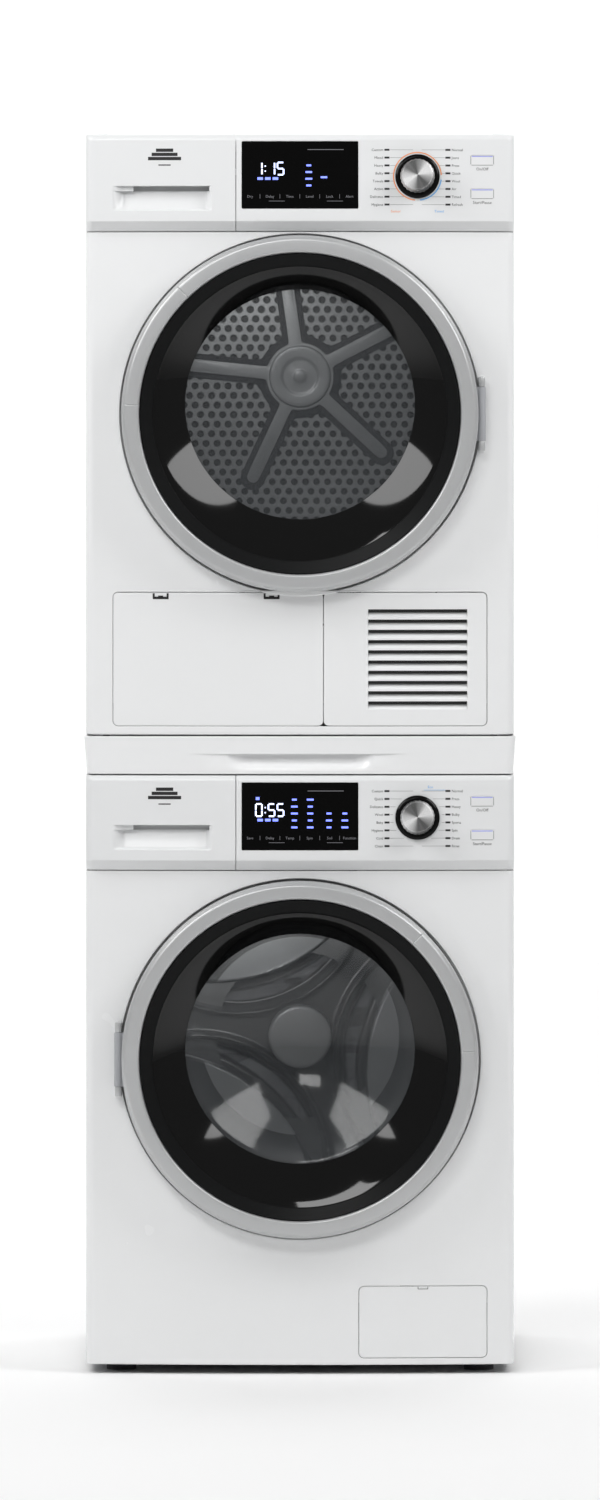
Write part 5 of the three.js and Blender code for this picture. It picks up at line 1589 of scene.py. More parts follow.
@dataclass
class DryerDrum(Drum):
    """Perforated back with five pressed ribs around a round bearing cover."""

    pitch: float = 16.0 * MM
    hole: float = 5.0 * MM
    arms: Sequence[float] = (98.0, 27.5, -43.0, -115.0, 174.0)

    def build(self) -> None:
        """Make the shell, the perforated sheet and the ribs."""
        r = self.r
        plate = self.back - 52 * MM
        shell = rounded([(r - 13 * MM, self.front + 0.6 * MM), (r - 0.4 * MM, self.front + 0.6 * MM),
                         (r - 0.4 * MM, plate + 1 * MM),
                         (60 * MM, plate + 1 * MM)], 4 * MM, 5, False)
        body = Body().grid(revolve(shell, (0.0, self.z), self.segments), wrap_cols=True)
        piece = body.build("dryer_drum_shell", [Finish.STEEL], wall=0.8 * MM)
        hand_in(piece, "dryer_drum", ["dryer_drum"])
        shaft = np.array([(0.0, plate + 2 * MM), (13.9 * MM, plate + 2 * MM), (13.9 * MM, self.back),
                          (0.0, self.back)])
        hand_in(Body().grid(revolve(shaft, (0.0, self.z), 48), wrap_cols=True).build("dryer_drum_shaft",
                                                                                     [Finish.ZINC]),
                "dryer_drum")
        fins = Body()
        self.lifters(fins, self.front + 40 * MM, plate - 6 * MM, math.radians(-60))
        hand_in(fins.build("dryer_drum_lifters", [Finish.STEEL], wall=1.0 * MM), "dryer_drum")
        self.sheet(plate - 9 * MM)
        self.ribs(plate - 9 * MM)

    def sheet(self, y: float) -> None:
        """Hexagonal cells, each a ring from a hexagon down into a round hole.

        Cell centres lie on a triangular lattice; the ring's outer points are at
        pitch/2 / cos(angle to the nearest side's middle), the inner ones on the hole's circle.

        Args:
            y: the sheet's place.
        """
        p = self.pitch
        n = int(2 * self.r / p) + 2
        i, j = np.meshgrid(np.arange(-n, n), np.arange(-n, n))
        centres = np.stack([(i + 0.5 * (j % 2)).ravel() * p, j.ravel() * p * math.sqrt(0.75)], -1)
        centres = centres[np.hypot(*centres.T) < self.r - 14 * MM]
        a = around(12)
        nearest = np.abs((a + math.pi / 6) % (math.pi / 3) - math.pi / 6)
        hexagon = p / 2 / np.cos(nearest)
        rings = [(hexagon, 0.0), (self.hole + 0.9 * MM, 0.0), (self.hole, 0.9 * MM), (self.hole, 5 * MM)]
        radius = np.stack([np.broadcast_to(q, a.shape) for q, _ in rings])
        depth = np.array([d for _, d in rings])[:, None] + 0 * radius
        local = np.stack([radius * np.cos(a), depth, radius * np.sin(a)], -1).reshape(-1, 3)
        cells = centres[:, None, :]
        x = cells[..., 0] + local[None, :, 0]
        z = self.z + cells[..., 1] + local[None, :, 2]
        yy = y + local[None, :, 1] + 0 * x
        points = np.stack([x, yy, z], -1)
        faces = quads(4, 12, False, True)
        offsets = (np.arange(len(centres)) * 48)[:, None, None]
        body = Body().mesh(points.reshape(-1, 3), (faces[None] + offsets).reshape(-1, 4))
        rim = np.array([(self.r - 20 * MM, y - 0.3 * MM), (self.r - 2 * MM, y - 0.3 * MM),
                        (self.r - 2 * MM, y + 4 * MM)])
        body.grid(revolve(rim, (0.0, self.z), self.segments), wrap_cols=True)
        # A black disc behind the holes: painted shade seen through the perforations.
        backing = np.array([(self.r - 14 * MM, y + 4.6 * MM), (self.r * 0.5, y + 4.6 * MM),
                            (0.0, y + 4.6 * MM)])
        body.grid(revolve(backing, (0.0, self.z), 64), wrap_cols=True, slot=1)
        piece = body.build("dryer_drum_sheet", [Finish.DRUM_BACK, Finish.BLACK_INK], face_front=True,
                           crease=30, merge=1e-6)
        hand_in(piece, "dryer_drum")

    def star(self, angle: Array, hub: float, half: float, reach: float, web: float) -> Array:
        """Radius of a five-armed star outline in each direction.

        For a ray at angle b from an arm's middle, the arm's side is at half/sin(b), its round end at
        reach cos(b) + sqrt(half^2 - (reach sin b)^2), and between the arms the hub shows; a soft
        maximum rounds the inner corners.

        Args:
            angle: directions from the middle.
            hub: radius of the hub.
            half: half the width of an arm.
            reach: distance to an arm's round end.
            web: sharpness of the inner corners.

        Returns:
            The radius in each direction.
        """
        arms = np.radians(np.asarray(self.arms))
        off = np.abs((angle[:, None] - arms[None] + math.pi) % (2 * math.pi) - math.pi).min(1)
        side = half / np.maximum(np.sin(off), 1e-6)
        tip = reach * np.cos(off) + np.sqrt(np.maximum(half ** 2 - (reach * np.sin(off)) ** 2, 0))
        capped = np.where(reach * np.sin(off) < half, tip, 0)
        arm = np.where(off < math.atan2(half, reach), np.maximum(capped, 0),
                       np.minimum(side, reach / np.cos(off)))
        return (arm ** web + hub ** web) ** (1 / web)

    def ribs(self, y: float) -> None:
        """The star lies on the sheet in three steps: a dark low margin of painted shade along the rib's
        edges, then the raised rib.

        Args:
            y: the sheet's place.
        """
        arms = np.radians(np.asarray(self.arms))
        tight = np.concatenate([a + np.linspace(-0.22, 0.22, 61) for a in arms])
        angle = np.unique(np.concatenate([np.linspace(-math.pi, math.pi, 240, endpoint=False),
                                          (tight + math.pi) % (2 * math.pi) - math.pi]))
        outer = self.star(angle, 60 * MM, 17.6 * MM, 162 * MM, 12)
        inner = self.star(angle, 49 * MM, 9.0 * MM, 160 * MM, 12)
        # The dark margin is painted shade along the edges of the raised rib.
        low = Body()
        rows = [(outer, 2 * MM), (outer, -1.0 * MM), (outer * 0.985, -1.6 * MM), (outer * 0.5, -1.6 * MM),
                (0 * outer, -1.6 * MM)]
        low.grid(self.star_rows(rows, angle, y), wrap_cols=True)
        piece = low.build("dryer_drum_rib_painted_shade", [Finish.DARK], face_front=True, crease=50)
        hand_in(piece, "dryer_drum")
        high = Body()
        rows = [(inner, -1 * MM), (inner, -4.0 * MM), (inner * 0.985, -5.2 * MM), (inner * 0.5, -5.6 * MM),
                (0 * inner, -5.6 * MM)]
        high.grid(self.star_rows(rows, angle, y), wrap_cols=True)
        piece = high.build("dryer_drum_ribs", [Finish.DRUM_BACK], face_front=True, crease=50)
        hand_in(piece, "dryer_drum")
        hub = rounded([(45 * MM, y - 4 * MM), (44 * MM, y - 9 * MM), (40 * MM, y - 9.6 * MM),
                       (28 * MM, y - 9 * MM),
                       (24 * MM, y - 7 * MM), (10 * MM, y - 7.4 * MM), (7 * MM, y - 9 * MM),
                       (0.0, y - 9.4 * MM)], 2.5 * MM, 5, False)
        cover = Body().grid(revolve(hub, (0.0, self.z), 96), wrap_cols=True)
        hand_in(cover.build("dryer_drum_hub", [Finish.DRUM_BACK], face_front=True), "dryer_drum")

    def star_rows(self, rows: Sequence[tuple[Array, float]], angle: Array, y: float) -> Array:
        """Points for rows of (radius in each direction, offset from the sheet)."""
        return np.stack([np.stack([r * np.cos(angle), np.full(len(angle), y + d),
                                   self.z + r * np.sin(angle)], -1)
                         for r, d in rows])


@dataclass
class WasherDrum(Drum):
    """Pressed back with three broad curved lobes."""

    lobes: Sequence[float] = (-8.0, 112.0, 232.0)
    near_out: float = 240 * MM
    near_r: float = 190 * MM
    far_out: float = 345 * MM
    far_r: float = 248 * MM

    def build(self) -> None:
        """Make the shell, the pressed back, the cap and the lifters."""
        r = self.r
        plate = self.back - 58 * MM
        shell = rounded([(166 * MM, self.front + 0.8 * MM), (r - 6 * MM, self.front + 0.8 * MM),
                         (r - 0.5 * MM, self.front + 8 * MM),
                         (r - 0.5 * MM, plate - 6 * MM), (r - 8 * MM, plate), (120 * MM, plate)], 4 * MM, 5,
                        False)
        body = Body().grid(revolve(shell, (0.0, self.z), self.segments), wrap_cols=True)
        piece = body.build("washer_drum_shell", [Finish.STEEL], wall=0.9 * MM)
        hand_in(piece, "washer_drum", ["washer_drum"])
        shaft = np.array([(0.0, plate + 2 * MM), (13.9 * MM, plate + 2 * MM), (13.9 * MM, self.back),
                          (0.0, self.back)])
        hand_in(Body().grid(revolve(shaft, (0.0, self.z), 48), wrap_cols=True).build("washer_drum_shaft",
                                                                                     [Finish.ZINC]),
                "washer_drum")
        fins = Body()
        self.lifters(fins, self.front + 16 * MM, plate - 10 * MM, math.radians(95))
        hand_in(fins.build("washer_drum_lifters", [Finish.GREY_PART], wall=1.2 * MM), "washer_drum")
        self.pressed_back(plate - 2 * MM)

    def pressed_back(self, y: float) -> None:
        """A polar grid pressed into three lobes around the cap.

        Each lobe is bounded by the circle at distance R1 about a point far out; inside it the sheet
        drops back by a smooth step, and a rounded bead follows the circle. A second circle of
        radius R2 about a point still farther out bounds a lens that comes forward again and tips
        towards the rim. The lens faces take a lighter copy of the steel, a painted highlight, and
        the rest a darker copy, painted shade.

        Args:
            y: the plate's place.
        """
        rho = np.linspace(0.002, 1.0, 116)[:, None]
        angle = around(400)[None]
        radius = rho * (self.r - 4 * MM)
        px, pz = radius * np.cos(angle), radius * np.sin(angle)
        depth, lit_lens_mask = 0 * px, 0 * px
        for turn in self.lobes:
            a = math.radians(turn)
            first = np.hypot(px - self.near_out * math.cos(a),
                             pz - self.near_out * math.sin(a)) - self.near_r
            b = a - math.radians(1.0)
            second = np.hypot(px - self.far_out * math.cos(b), pz - self.far_out * math.sin(b)) - self.far_r
            bead = np.exp(-(first / (4.5 * MM)) ** 2)
            drop = 1 - smoothstep(first, -14 * MM, 0.0)
            lens = 1 - smoothstep(second, -5 * MM, 0.0)
            crest = np.exp(-(second / (3.5 * MM)) ** 2)
            depth += -9 * MM * bead + 20 * MM * drop - 26 * MM * lens * drop - 5 * MM * crest * drop
            lit_lens_mask = np.maximum(lit_lens_mask, lens * (first < 0) * (radius < 142 * MM))
        fade = smoothstep(radius, 44 * MM, 56 * MM) * (1 - smoothstep(radius, 176 * MM, 226 * MM))
        rim = -24 * MM * smoothstep(radius, 150 * MM, 225 * MM)
        yy = y - 8 * MM + depth * fade + rim
        body = Body().grid(np.stack([px, yy, self.z + pz], -1), wrap_cols=True)
        # Lens faces get the lighter steel, a painted highlight; the rest get the darker steel, painted
        # shade.
        body.slots[0] = (lit_lens_mask[:-1].ravel() > 0.5).astype(int)
        piece = body.build("washer_drum_back", [Finish.DARK_STEEL, Finish.LIT_STEEL], face_front=True,
                           wall=0.8 * MM,
                           crease=70)
        hand_in(piece, "washer_drum")
        cap = rounded([(46 * MM, y + 2 * MM), (45 * MM, y - 36 * MM), (41 * MM, y - 38 * MM),
                       (0.0, y - 39.5 * MM)], 2 * MM, 5, False)
        cover = Body().grid(revolve(cap, (0.0, self.z), 96), wrap_cols=True)
        hand_in(cover.build("washer_drum_cap", [Finish.DRUM_BACK], face_front=True), "washer_drum")
        self.drain_dots(y - 5 * MM)

    def drain_dots(self, y: float) -> None:
        """Rings of small dark shallow ten-sided cones near the rim: painted shade standing in for drain
        holes.

        Args:
            y: the plate's place.
        """
        a = around(90)
        rows = np.concatenate([np.stack([rr * np.cos(a + s), rr * np.sin(a + s)], -1)
                               for rr, s in ((self.r - 16 * MM, 0.0), (self.r - 26 * MM, 0.035))])
        b = around(10)
        local = np.stack([np.stack([q * np.cos(b), np.full(10, d), q * np.sin(b)], -1)
                          for q, d in ((2.2 * MM, 0.0), (0.0, 0.1 * MM))]).reshape(-1, 3)
        points = local[None] + np.stack([rows[:, 0], np.full(len(rows), y), rows[:, 1] + self.z], -1)[:,
                                                                                                      None]
        faces = (quads(2, 10, False, True)[None] + (np.arange(len(rows)) * 20)[:, None, None]).reshape(-1,
                                                                                                       4)
        piece = Body().mesh(points.reshape(-1, 3), faces).build("washer_drum_drain_hole_shade", [Finish.BELT],
                                                                face_front=True)
        hand_in(piece, "washer_drum")


# ---- Small front pieces ----
@dataclass
class LowerDryer:
    """The service flap with two latches and the ventilation grille beside it."""

    machine: Machine
    slots: int = 10
    slot_pitch: float = 14.2 * MM
    slot_height: float = 4.4 * MM
    slot_width: float = 138 * MM

    def build(self) -> None:
        """Make the flap, its latches and the grille."""
        front = self.machine.panel
        flap = box_outline("dryer_service_flap")
        body = Body()
        front.plate(body, flap, 0.0, 2.6 * MM, 0.8 * MM, rows=24)
        hand_in(body.build("service_flap_panel", [Finish.ENAMEL]), "dryer_service_flap",
                ["dryer_service_flap"])
        top = flap.z + flap.height / 2
        art = Artwork(front, 0.3 * MM)
        for u in (-193.5 * MM, -39.4 * MM):
            art.dash(u, top - 7.4 * MM, 22 * MM, 3.4 * MM)
            for side in (-1, 1):
                art.dash(u + side * 9.7 * MM, top - 3.8 * MM, 2.8 * MM, 5.6 * MM)
            art.dash(u, top - 5.4 * MM, 7 * MM, 2.4 * MM)
        art.build("service_flap_latches", [Finish.BLACK_INK], "dryer_service_flap", "dark_plastic")
        self.grille(front)

    def grille(self, front: Front) -> None:
        """The grille: each pitch has a deep slot, then a slat that slopes back out to the face.

        Args:
            front: the front that carries it.
        """
        shape = box_outline("dryer_vent_grille")
        body = Body()
        top = shape.z + shape.height / 2
        u1 = shape.u + shape.width / 2 - 27 * MM
        u0 = u1 - self.slot_width
        z1 = top - 25.5 * MM + self.slot_height / 2
        z0 = z1 - self.slots * self.slot_pitch + 3 * MM
        hole = Outline((u0 + u1) / 2, (z0 + z1) / 2, u1 - u0, z1 - z0, 0.01 * MM)
        centre = np.array([hole.u, hole.z])
        angle = ray_angles(hole.corners(), shape.corners() + [shape.u - hole.u, shape.z - hole.z])
        outline = self.rim(shape, centre, angle)
        flat = between(outline, hole.at(angle), 12)
        skirt = outline[None] + (outline - centre)[None] * 0.002
        uz = np.concatenate([skirt, skirt, flat])
        deep = np.concatenate([[2.6 * MM, 0.7 * MM], np.zeros(12)])[:, None] + 0 * uz[..., 0]
        body.grid(front.place(uz[..., 0], uz[..., 1], deep), wrap_cols=True)

        def depth(u: Array, z: Array) -> Array:
            """Deep in the slots, sloping on the slats, flush on the border.

            Args:
                u: positions across.
                z: heights.

            Returns:
                Distances behind the face.
            """
            inside = (z1 - z) % self.slot_pitch
            slope = 6.5 * MM * (1 - smoothstep(inside, self.slot_height, self.slot_height + 7.5 * MM))
            value = np.where(inside < self.slot_height, 11 * MM, slope)
            border = (u <= u0) | (u >= u1) | (z <= z0) | (z >= z1)
            return np.where(border, 0.0, value)

        rows = [z1 - i * self.slot_pitch - np.array([-0.01, 0.12, 2.2, 4.3, 4.5, 5.2, 6.4, 7.8, 9.4, 11.0,
                                                     12.5, 14.0]) * MM
                for i in range(self.slots)]
        zs = np.unique(np.clip(np.concatenate([*rows, [z0, z1]]), z0, z1))
        us = np.unique(np.concatenate([np.linspace(u0, u1, 14), [u0 + 0.2 * MM, u1 - 0.2 * MM]]))
        front.relief(body, us, zs, depth)
        piece = body.build("vent_grille_panel", [Finish.ENAMEL], face_front=True, wall=1.2 * MM, crease=30)
        hand_in(piece, "stack", ["dryer_vent_grille"])
        dark = Artwork(front, -4.0 * MM)
        for i in range(self.slots):
            dark.dash(hole.u, z1 - i * self.slot_pitch - self.slot_height / 2, self.slot_width - 1 * MM,
                      self.slot_height)
        dark.build("vent_grille_shadow_mesh", [Finish.BLACK_INK], "stack", "dark_plastic")

    def rim(self, shape: Outline, centre: Array, angle: Array) -> Array:
        """The outline of a shape along rays from a point that is not its middle.

        Args:
            shape: the outline.
            centre: where the rays start.
            angle: their directions.

        Returns:
            (n, 2) points.
        """
        rays = ray_angles(shape.corners(), count=720)
        ring = shape.at(rays, -0.3 * MM)
        seen = np.arctan2(ring[:, 1] - centre[1], ring[:, 0] - centre[0])
        order = np.argsort(seen)
        seen, ring = seen[order], ring[order]
        return np.stack([np.interp(angle, seen, ring[:, k], period=2 * math.pi) for k in (0, 1)], -1)


@dataclass
class DrainFlap:
    """The small flap over the drain filter, with painted shade for a latch slot at its top edge."""

    machine: Machine

    def build(self) -> None:
        """Make the flap and the painted shade of its latch slot."""
        front = self.machine.panel
        shape = box_outline("washer_drain_flap")
        body = Body()
        front.plate(body, shape, 0.0, 2.6 * MM, 0.9 * MM, rows=20)
        hand_in(body.build("drain_flap_panel", [Finish.ENAMEL]), "washer_drain_flap",
                ["washer_drain_flap"])
        # Dark lines round the latch slot: painted shade in its gaps.
        art = Artwork(front, 0.2 * MM)
        top = shape.z + shape.height / 2
        art.dash(shape.u, top - 3.6 * MM, 14 * MM, 0.8 * MM)
        for side in (-1, 1):
            art.dash(shape.u + side * 6.8 * MM, top - 2.2 * MM, 0.8 * MM, 3.6 * MM)
        art.build("drain_flap_latch_painted_shade", [Finish.INK], "washer_drain_flap", "dark_plastic")


@dataclass
class Kit:
    """The pull-out shelf between the machines."""

    lip: float = 29 * MM
    scoop: float = 112 * MM

    def build(self) -> None:
        """Make the shelf's front with its scoop, and the tray behind it."""
        low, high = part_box("kit_shelf")
        frame_low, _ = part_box("kit_frame")
        half = high[0]
        front = Front(half, low[1] + 12 * MM, low[1] + 12 * MM + 38 * MM)
        z0, z1 = low[2], high[2]
        body = Body()
        reach = front.reach
        u = across(front, -reach, reach)
        lip = frame_low[2] + self.lip
        zs = np.unique(np.concatenate([np.linspace(z0 + 2 * MM, lip, 26),
                                       [lip - 0.6 * MM, lip - 0.25 * MM, lip + 0.15 * MM, lip + 1.5 * MM],
                                       np.linspace(lip + 2 * MM, z1 - 2 * MM, 6)]))
        us = np.unique(np.concatenate([u, np.linspace(-self.scoop * 1.5, self.scoop * 1.5, 120)]))

        def depth(a: Array, b: Array) -> Array:
            """Under the lip the scoop is deepest, and it runs out downwards and to both ends.

            Args:
                a: positions across.
                b: heights.

            Returns:
                Distances behind the face.
            """
            ends = 1 - smoothstep(abs(a), self.scoop * 0.62, self.scoop)
            wings = 0.12 * (1 - smoothstep(abs(a), self.scoop, self.scoop * 1.4))
            fall = (1 - smoothstep(lip - b, 1 * MM, 24 * MM)) * (b < lip)
            return 13 * MM * np.maximum(ends, wings) * fall

        front.relief(body, us, zs, depth)
        for edge, inner in ((z0, z0 + 2 * MM), (z1, z1 - 2 * MM)):
            section = rounded([(inner, 0), (edge, 0), (edge, 26 * MM)], 1.6 * MM, 5, False)
            front.strip(body, us, section)
        piece = body.build("kit_shelf_front", [Finish.ENAMEL], face_front=True, wall=2.2 * MM, crease=30)
        self.taper(piece, z0, z1)
        hand_in(piece, "kit_shelf", ["kit_shelf"])
        self.tray(high)

    def taper(self, piece: bpy.types.Object, z0: float, z1: float) -> None:
        """Draw the front in towards its bottom: x is scaled by 1 at the top and 0.987 at the foot.

        Args:
            piece: the piece to draw in.
            z0: its foot.
            z1: its top.
        """
        count = len(piece.data.vertices)
        points = np.empty(count * 3)
        piece.data.vertices.foreach_get("co", points)
        points = points.reshape(-1, 3)
        points[:, 0] *= 1 - 0.013 * ((z1 - points[:, 2]) / (z1 - z0)).clip(0, 1)
        piece.data.vertices.foreach_set("co", points.ravel())

    def tray(self, high: Sequence[float]) -> None:
        """A shallow pan: rows of a rounded rectangle go up outside, over the rim and down inside.

        Args:
            high: the shelf's far corner.
        """
        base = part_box("kit_frame")[0][2]
        x, y0, y1 = 271 * MM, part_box("kit_shelf")[0][1] + 50 * MM, high[1]
        plan = Outline(0.0, (y0 + y1) / 2, 2 * x, y1 - y0, 8 * MM)
        angle = ray_angles(plan.corners(), count=64)
        rims = [(-3, 13.4), (0, 15), (0, 35), (-0.8, 36), (-1.8, 36), (-2.4, 35), (-2.6, 18), (-5, 15.8)]
        rows = [(grow * MM, base + z * MM) for grow, z in rims]
        rows = [(None, base + 13.4 * MM), *rows, (None, base + 15.8 * MM)]
        body = Body().grid(levels_of(plan, angle, rows), wrap_cols=True)
        hand_in(body.build("kit_shelf_tray", [Finish.ENAMEL]), "kit_shelf")


@dataclass
class Casing:
    """The dryer's lid, the gasket, the lint filter and the finishes of the CAD pieces that stay."""

    def build(self) -> None:
        """Make the pieces and dress the rest."""
        self.lid()
        self.gasket()
        self.filter()
        self.dress()

    def lid(self) -> None:
        """The top cover: rows of a rounded rectangle up the sides, over a soft edge, to the middle."""
        low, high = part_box("dryer_top_cover")
        plan = Outline(0.0, (low[1] + high[1]) / 2, high[0] - low[0], high[1] - low[1], 9 * MM)
        angle = ray_angles(plan.corners(), count=96)
        rims = [(-14, 0.4), (0, 0.0), (0, 19.0), (-0.5, 21.3), (-1.6, 22.8), (-3.4, 23.5), (-12, 23.5),
                (-26, 22.9), (-40, 22.9)]
        rows = [*[(grow * MM, low[2] + z * MM) for grow, z in rims], (None, low[2] + 22.9 * MM)]
        body = Body().grid(levels_of(plan, angle, rows), wrap_cols=True)
        piece = body.build("dryer_lid", [Finish.ENAMEL])
        hand_in(piece, "stack", ["dryer_top_cover"])

    def gasket(self) -> None:
        """Bellows between the front and the tub: rings that swing in and out along Y."""
        low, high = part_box("washer_gasket")
        z = (low[2] + high[2]) / 2
        t = np.linspace(0, 1, 60)
        y = low[1] + (high[1] - low[1]) * t
        r = 187 * MM - 5.5 * MM * np.cos(t * 5 * math.pi) * smoothstep(t, 0.06,
                                                                       0.2) * (1 - smoothstep(t, 0.85, 1.0))
        lip = [(190 * MM, low[1] + 1 * MM), (177 * MM, low[1] + 0.5 * MM), (176.5 * MM, low[1] + 4 * MM),
               (181 * MM, low[1] + 5 * MM)]
        profile = np.concatenate([rounded(lip, 1.5 * MM, 4, False), np.stack([r, y], -1)[8:]])
        body = Body().grid(revolve(profile, (0.0, z), 160), wrap_cols=True)
        piece = body.build("door_gasket_bellows", [Finish.RUBBER], wall=2.0 * MM, crease=60)
        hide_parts("washer_gasket")
        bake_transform(piece)

    def filter(self) -> None:
        """The lint filter: a frame with a grip on top and a fine mesh of crossing wires."""
        low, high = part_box("dryer_lint_filter")
        body = Body()
        y = ((low[1] + high[1]) / 2 - 5 * MM, (low[1] + high[1]) / 2 + 5 * MM)
        x0, x1, z0, z1 = low[0], high[0], low[2], high[2]
        wall = 7 * MM
        for xs, zs in (((x0, x1), (z1 - 12 * MM, z1)), ((x0, x1), (z0, z0 + wall)),
                       ((x0, x0 + wall), (z0, z1)),
                       ((x1 - wall, x1), (z0, z1))):
            body.grid(bar(xs, y, (zs[0] + zs[1]) / 2, (zs[1] - zs[0]) / 2), wrap_cols=True)
        middle = (y[0] + y[1]) / 2
        for x in np.arange(x0 + wall, x1 - wall, 4 * MM):
            body.grid(bar((x, x + 0.7 * MM), (middle, middle + 0.7 * MM), (z0 + z1) / 2,
                          (z1 - z0) / 2 - 4 * MM, 0.1 * MM), wrap_cols=True)
        for z in np.arange(z0 + wall, z1 - 12 * MM, 4 * MM):
            body.grid(bar((x0 + 3 * MM, x1 - 3 * MM), (middle, middle + 0.7 * MM), z, 0.4 * MM, 0.1 * MM),
                      wrap_cols=True)
        hand_in(body.build("lint_filter_screen", [Finish.DARK]), "dryer_lint_filter",
                ["dryer_lint_filter"])

    def dress(self) -> None:
        """Give each CAD node that stays its finish."""
        finishes = {
            Finish.ENAMEL: ["washer_cabinet", "dryer_cabinet", "kit_frame"],
            Finish.ZINC: ["washer_base", "dryer_base", "dryer_bulkhead", "washer_motor_pulley"],
            Finish.GREY_PART: ["washer_tub", "washer_drain_pump", "washer_detergent_tray"],
            Finish.ALUMINIUM: ["washer_motor", "dryer_motor", "washer_pulley", "dryer_condenser"],
            Finish.CONCRETE: ["washer_counterweight"],
            Finish.BELT: ["washer_belt", "dryer_belt"],
            Finish.DARK: ["washer_filter_cap", "dryer_fan",
                          *[f"washer_foot_{i}" for i in range(1, 5)]],
        }
        for finish, names in finishes.items():
            for name in names:
                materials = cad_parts[name].data.materials
                materials.clear()
                materials.append(finish.get())


@dataclass
class Suspension:
    """The coil springs above the tub and the friction dampers below it."""

    turns: int = 13
    wire: float = 1.6 * MM

    def build(self) -> None:
        """Make two springs and two dampers that slide."""
        for word in ("left", "right"):
            self.spring(word)
            self.damper(word)

    def spring(self, word: str) -> None:
        """A wire carried along a helix.

        The path is (r cos a, r sin a, z) with a growing evenly; each section is a circle spanned by
        the outward direction and the one at right angles to it and the path. Both ends are drawn to
        a point on the wire's middle.

        Args:
            word: left or right.
        """
        node = f"washer_spring_{word}"
        low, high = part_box(node)
        centre = (np.array(low) + np.array(high)) / 2
        r = (high[0] - low[0]) / 2 - self.wire
        t = np.linspace(0, 1, self.turns * 18)
        a = 2 * math.pi * self.turns * t
        z = low[2] + self.wire + (high[2] - low[2] - 2 * self.wire) * t
        path = np.stack([centre[0] + r * np.cos(a), centre[1] + r * np.sin(a), z], -1)
        out = np.stack([np.cos(a), np.sin(a), 0 * a], -1)
        side = np.cross(np.gradient(path, axis=0), out)
        side /= np.linalg.norm(side, axis=1, keepdims=True)
        b = around(8)[None, :, None]
        size = np.full(len(t), self.wire)
        size[[0, -1]] = 0.0
        ring = out[:, None] * np.cos(b) + side[:, None] * np.sin(b)
        body = Body().grid(path[:, None] + ring * size[:, None, None], wrap_cols=True)
        piece = body.build(f"{node}_coil", [Finish.ZINC], crease=70)
        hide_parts(node)
        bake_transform(piece)

    def damper(self, word: str) -> None:
        """A turned tube on the base and a rod on the tub that slides in it.

        Args:
            word: left or right.
        """
        node = f"washer_damper_{word}"
        low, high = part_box(node)
        x, y = (low[0] + high[0]) / 2, (low[1] + high[1]) / 2
        tall = high[2] - low[2]
        middle = low[2] + tall * 0.56
        tube = [(0, low[2]), (9 * MM, low[2]), (9 * MM, low[2] + 8 * MM), (13 * MM, low[2] + 13 * MM),
                (13 * MM, middle),
                (6 * MM, middle + 1 * MM), (6 * MM, middle - 41 * MM), (0, middle - 42 * MM)]
        rod = [(0, middle - 22 * MM), (5 * MM, middle - 22 * MM), (5 * MM, high[2] - 12 * MM),
               (9 * MM, high[2] - 9 * MM),
               (9 * MM, high[2]), (0, high[2])]
        parts = (("tube", tube, "stack", Finish.DARK, [node]), ("rod", rod, "washer_tub", Finish.ZINC, []))
        for part, profile, rider, finish, nodes in parts:
            body = Body().grid(upright(rounded(profile, 0.8 * MM, 3, False), x, y, 40), wrap_cols=True)
            hand_in(body.build(f"{node}_{part}", [finish]), rider, nodes)


@dataclass
class Tank:
    """The dryer's water tank body behind its cover."""

    def build(self) -> None:
        """Make an open-topped box with rounded corners: rows up outside, over the rim, down inside."""
        low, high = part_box("dryer_water_tank")
        x0, x1 = -0.2875, -0.1495
        y0, y1 = low[1] + 36 * MM, high[1]
        z0, z1 = high[2] - 92 * MM, high[2] - 30 * MM
        plan = Outline((x0 + x1) / 2, (y0 + y1) / 2, x1 - x0 - 1 * MM, y1 - y0, 10 * MM)
        angle = ray_angles(plan.corners(), count=64)
        rims = [(-4, z0), (0, z0 + 4 * MM), (0, z1 - 1 * MM), (-0.8, z1), (-1.8, z1), (-2.4, z1 - 1 * MM),
                (-2.4, z0 + 5 * MM), (-6, z0 + 2.4 * MM)]
        rows = [(None, z0), *[(grow * MM, z) for grow, z in rims], (None, z0 + 2.4 * MM)]
        body = Body().grid(levels_of(plan, angle, rows), wrap_cols=True)
        hand_in(body.build("water_tank_box", [Finish.GREY_PART]), "dryer_water_tank")


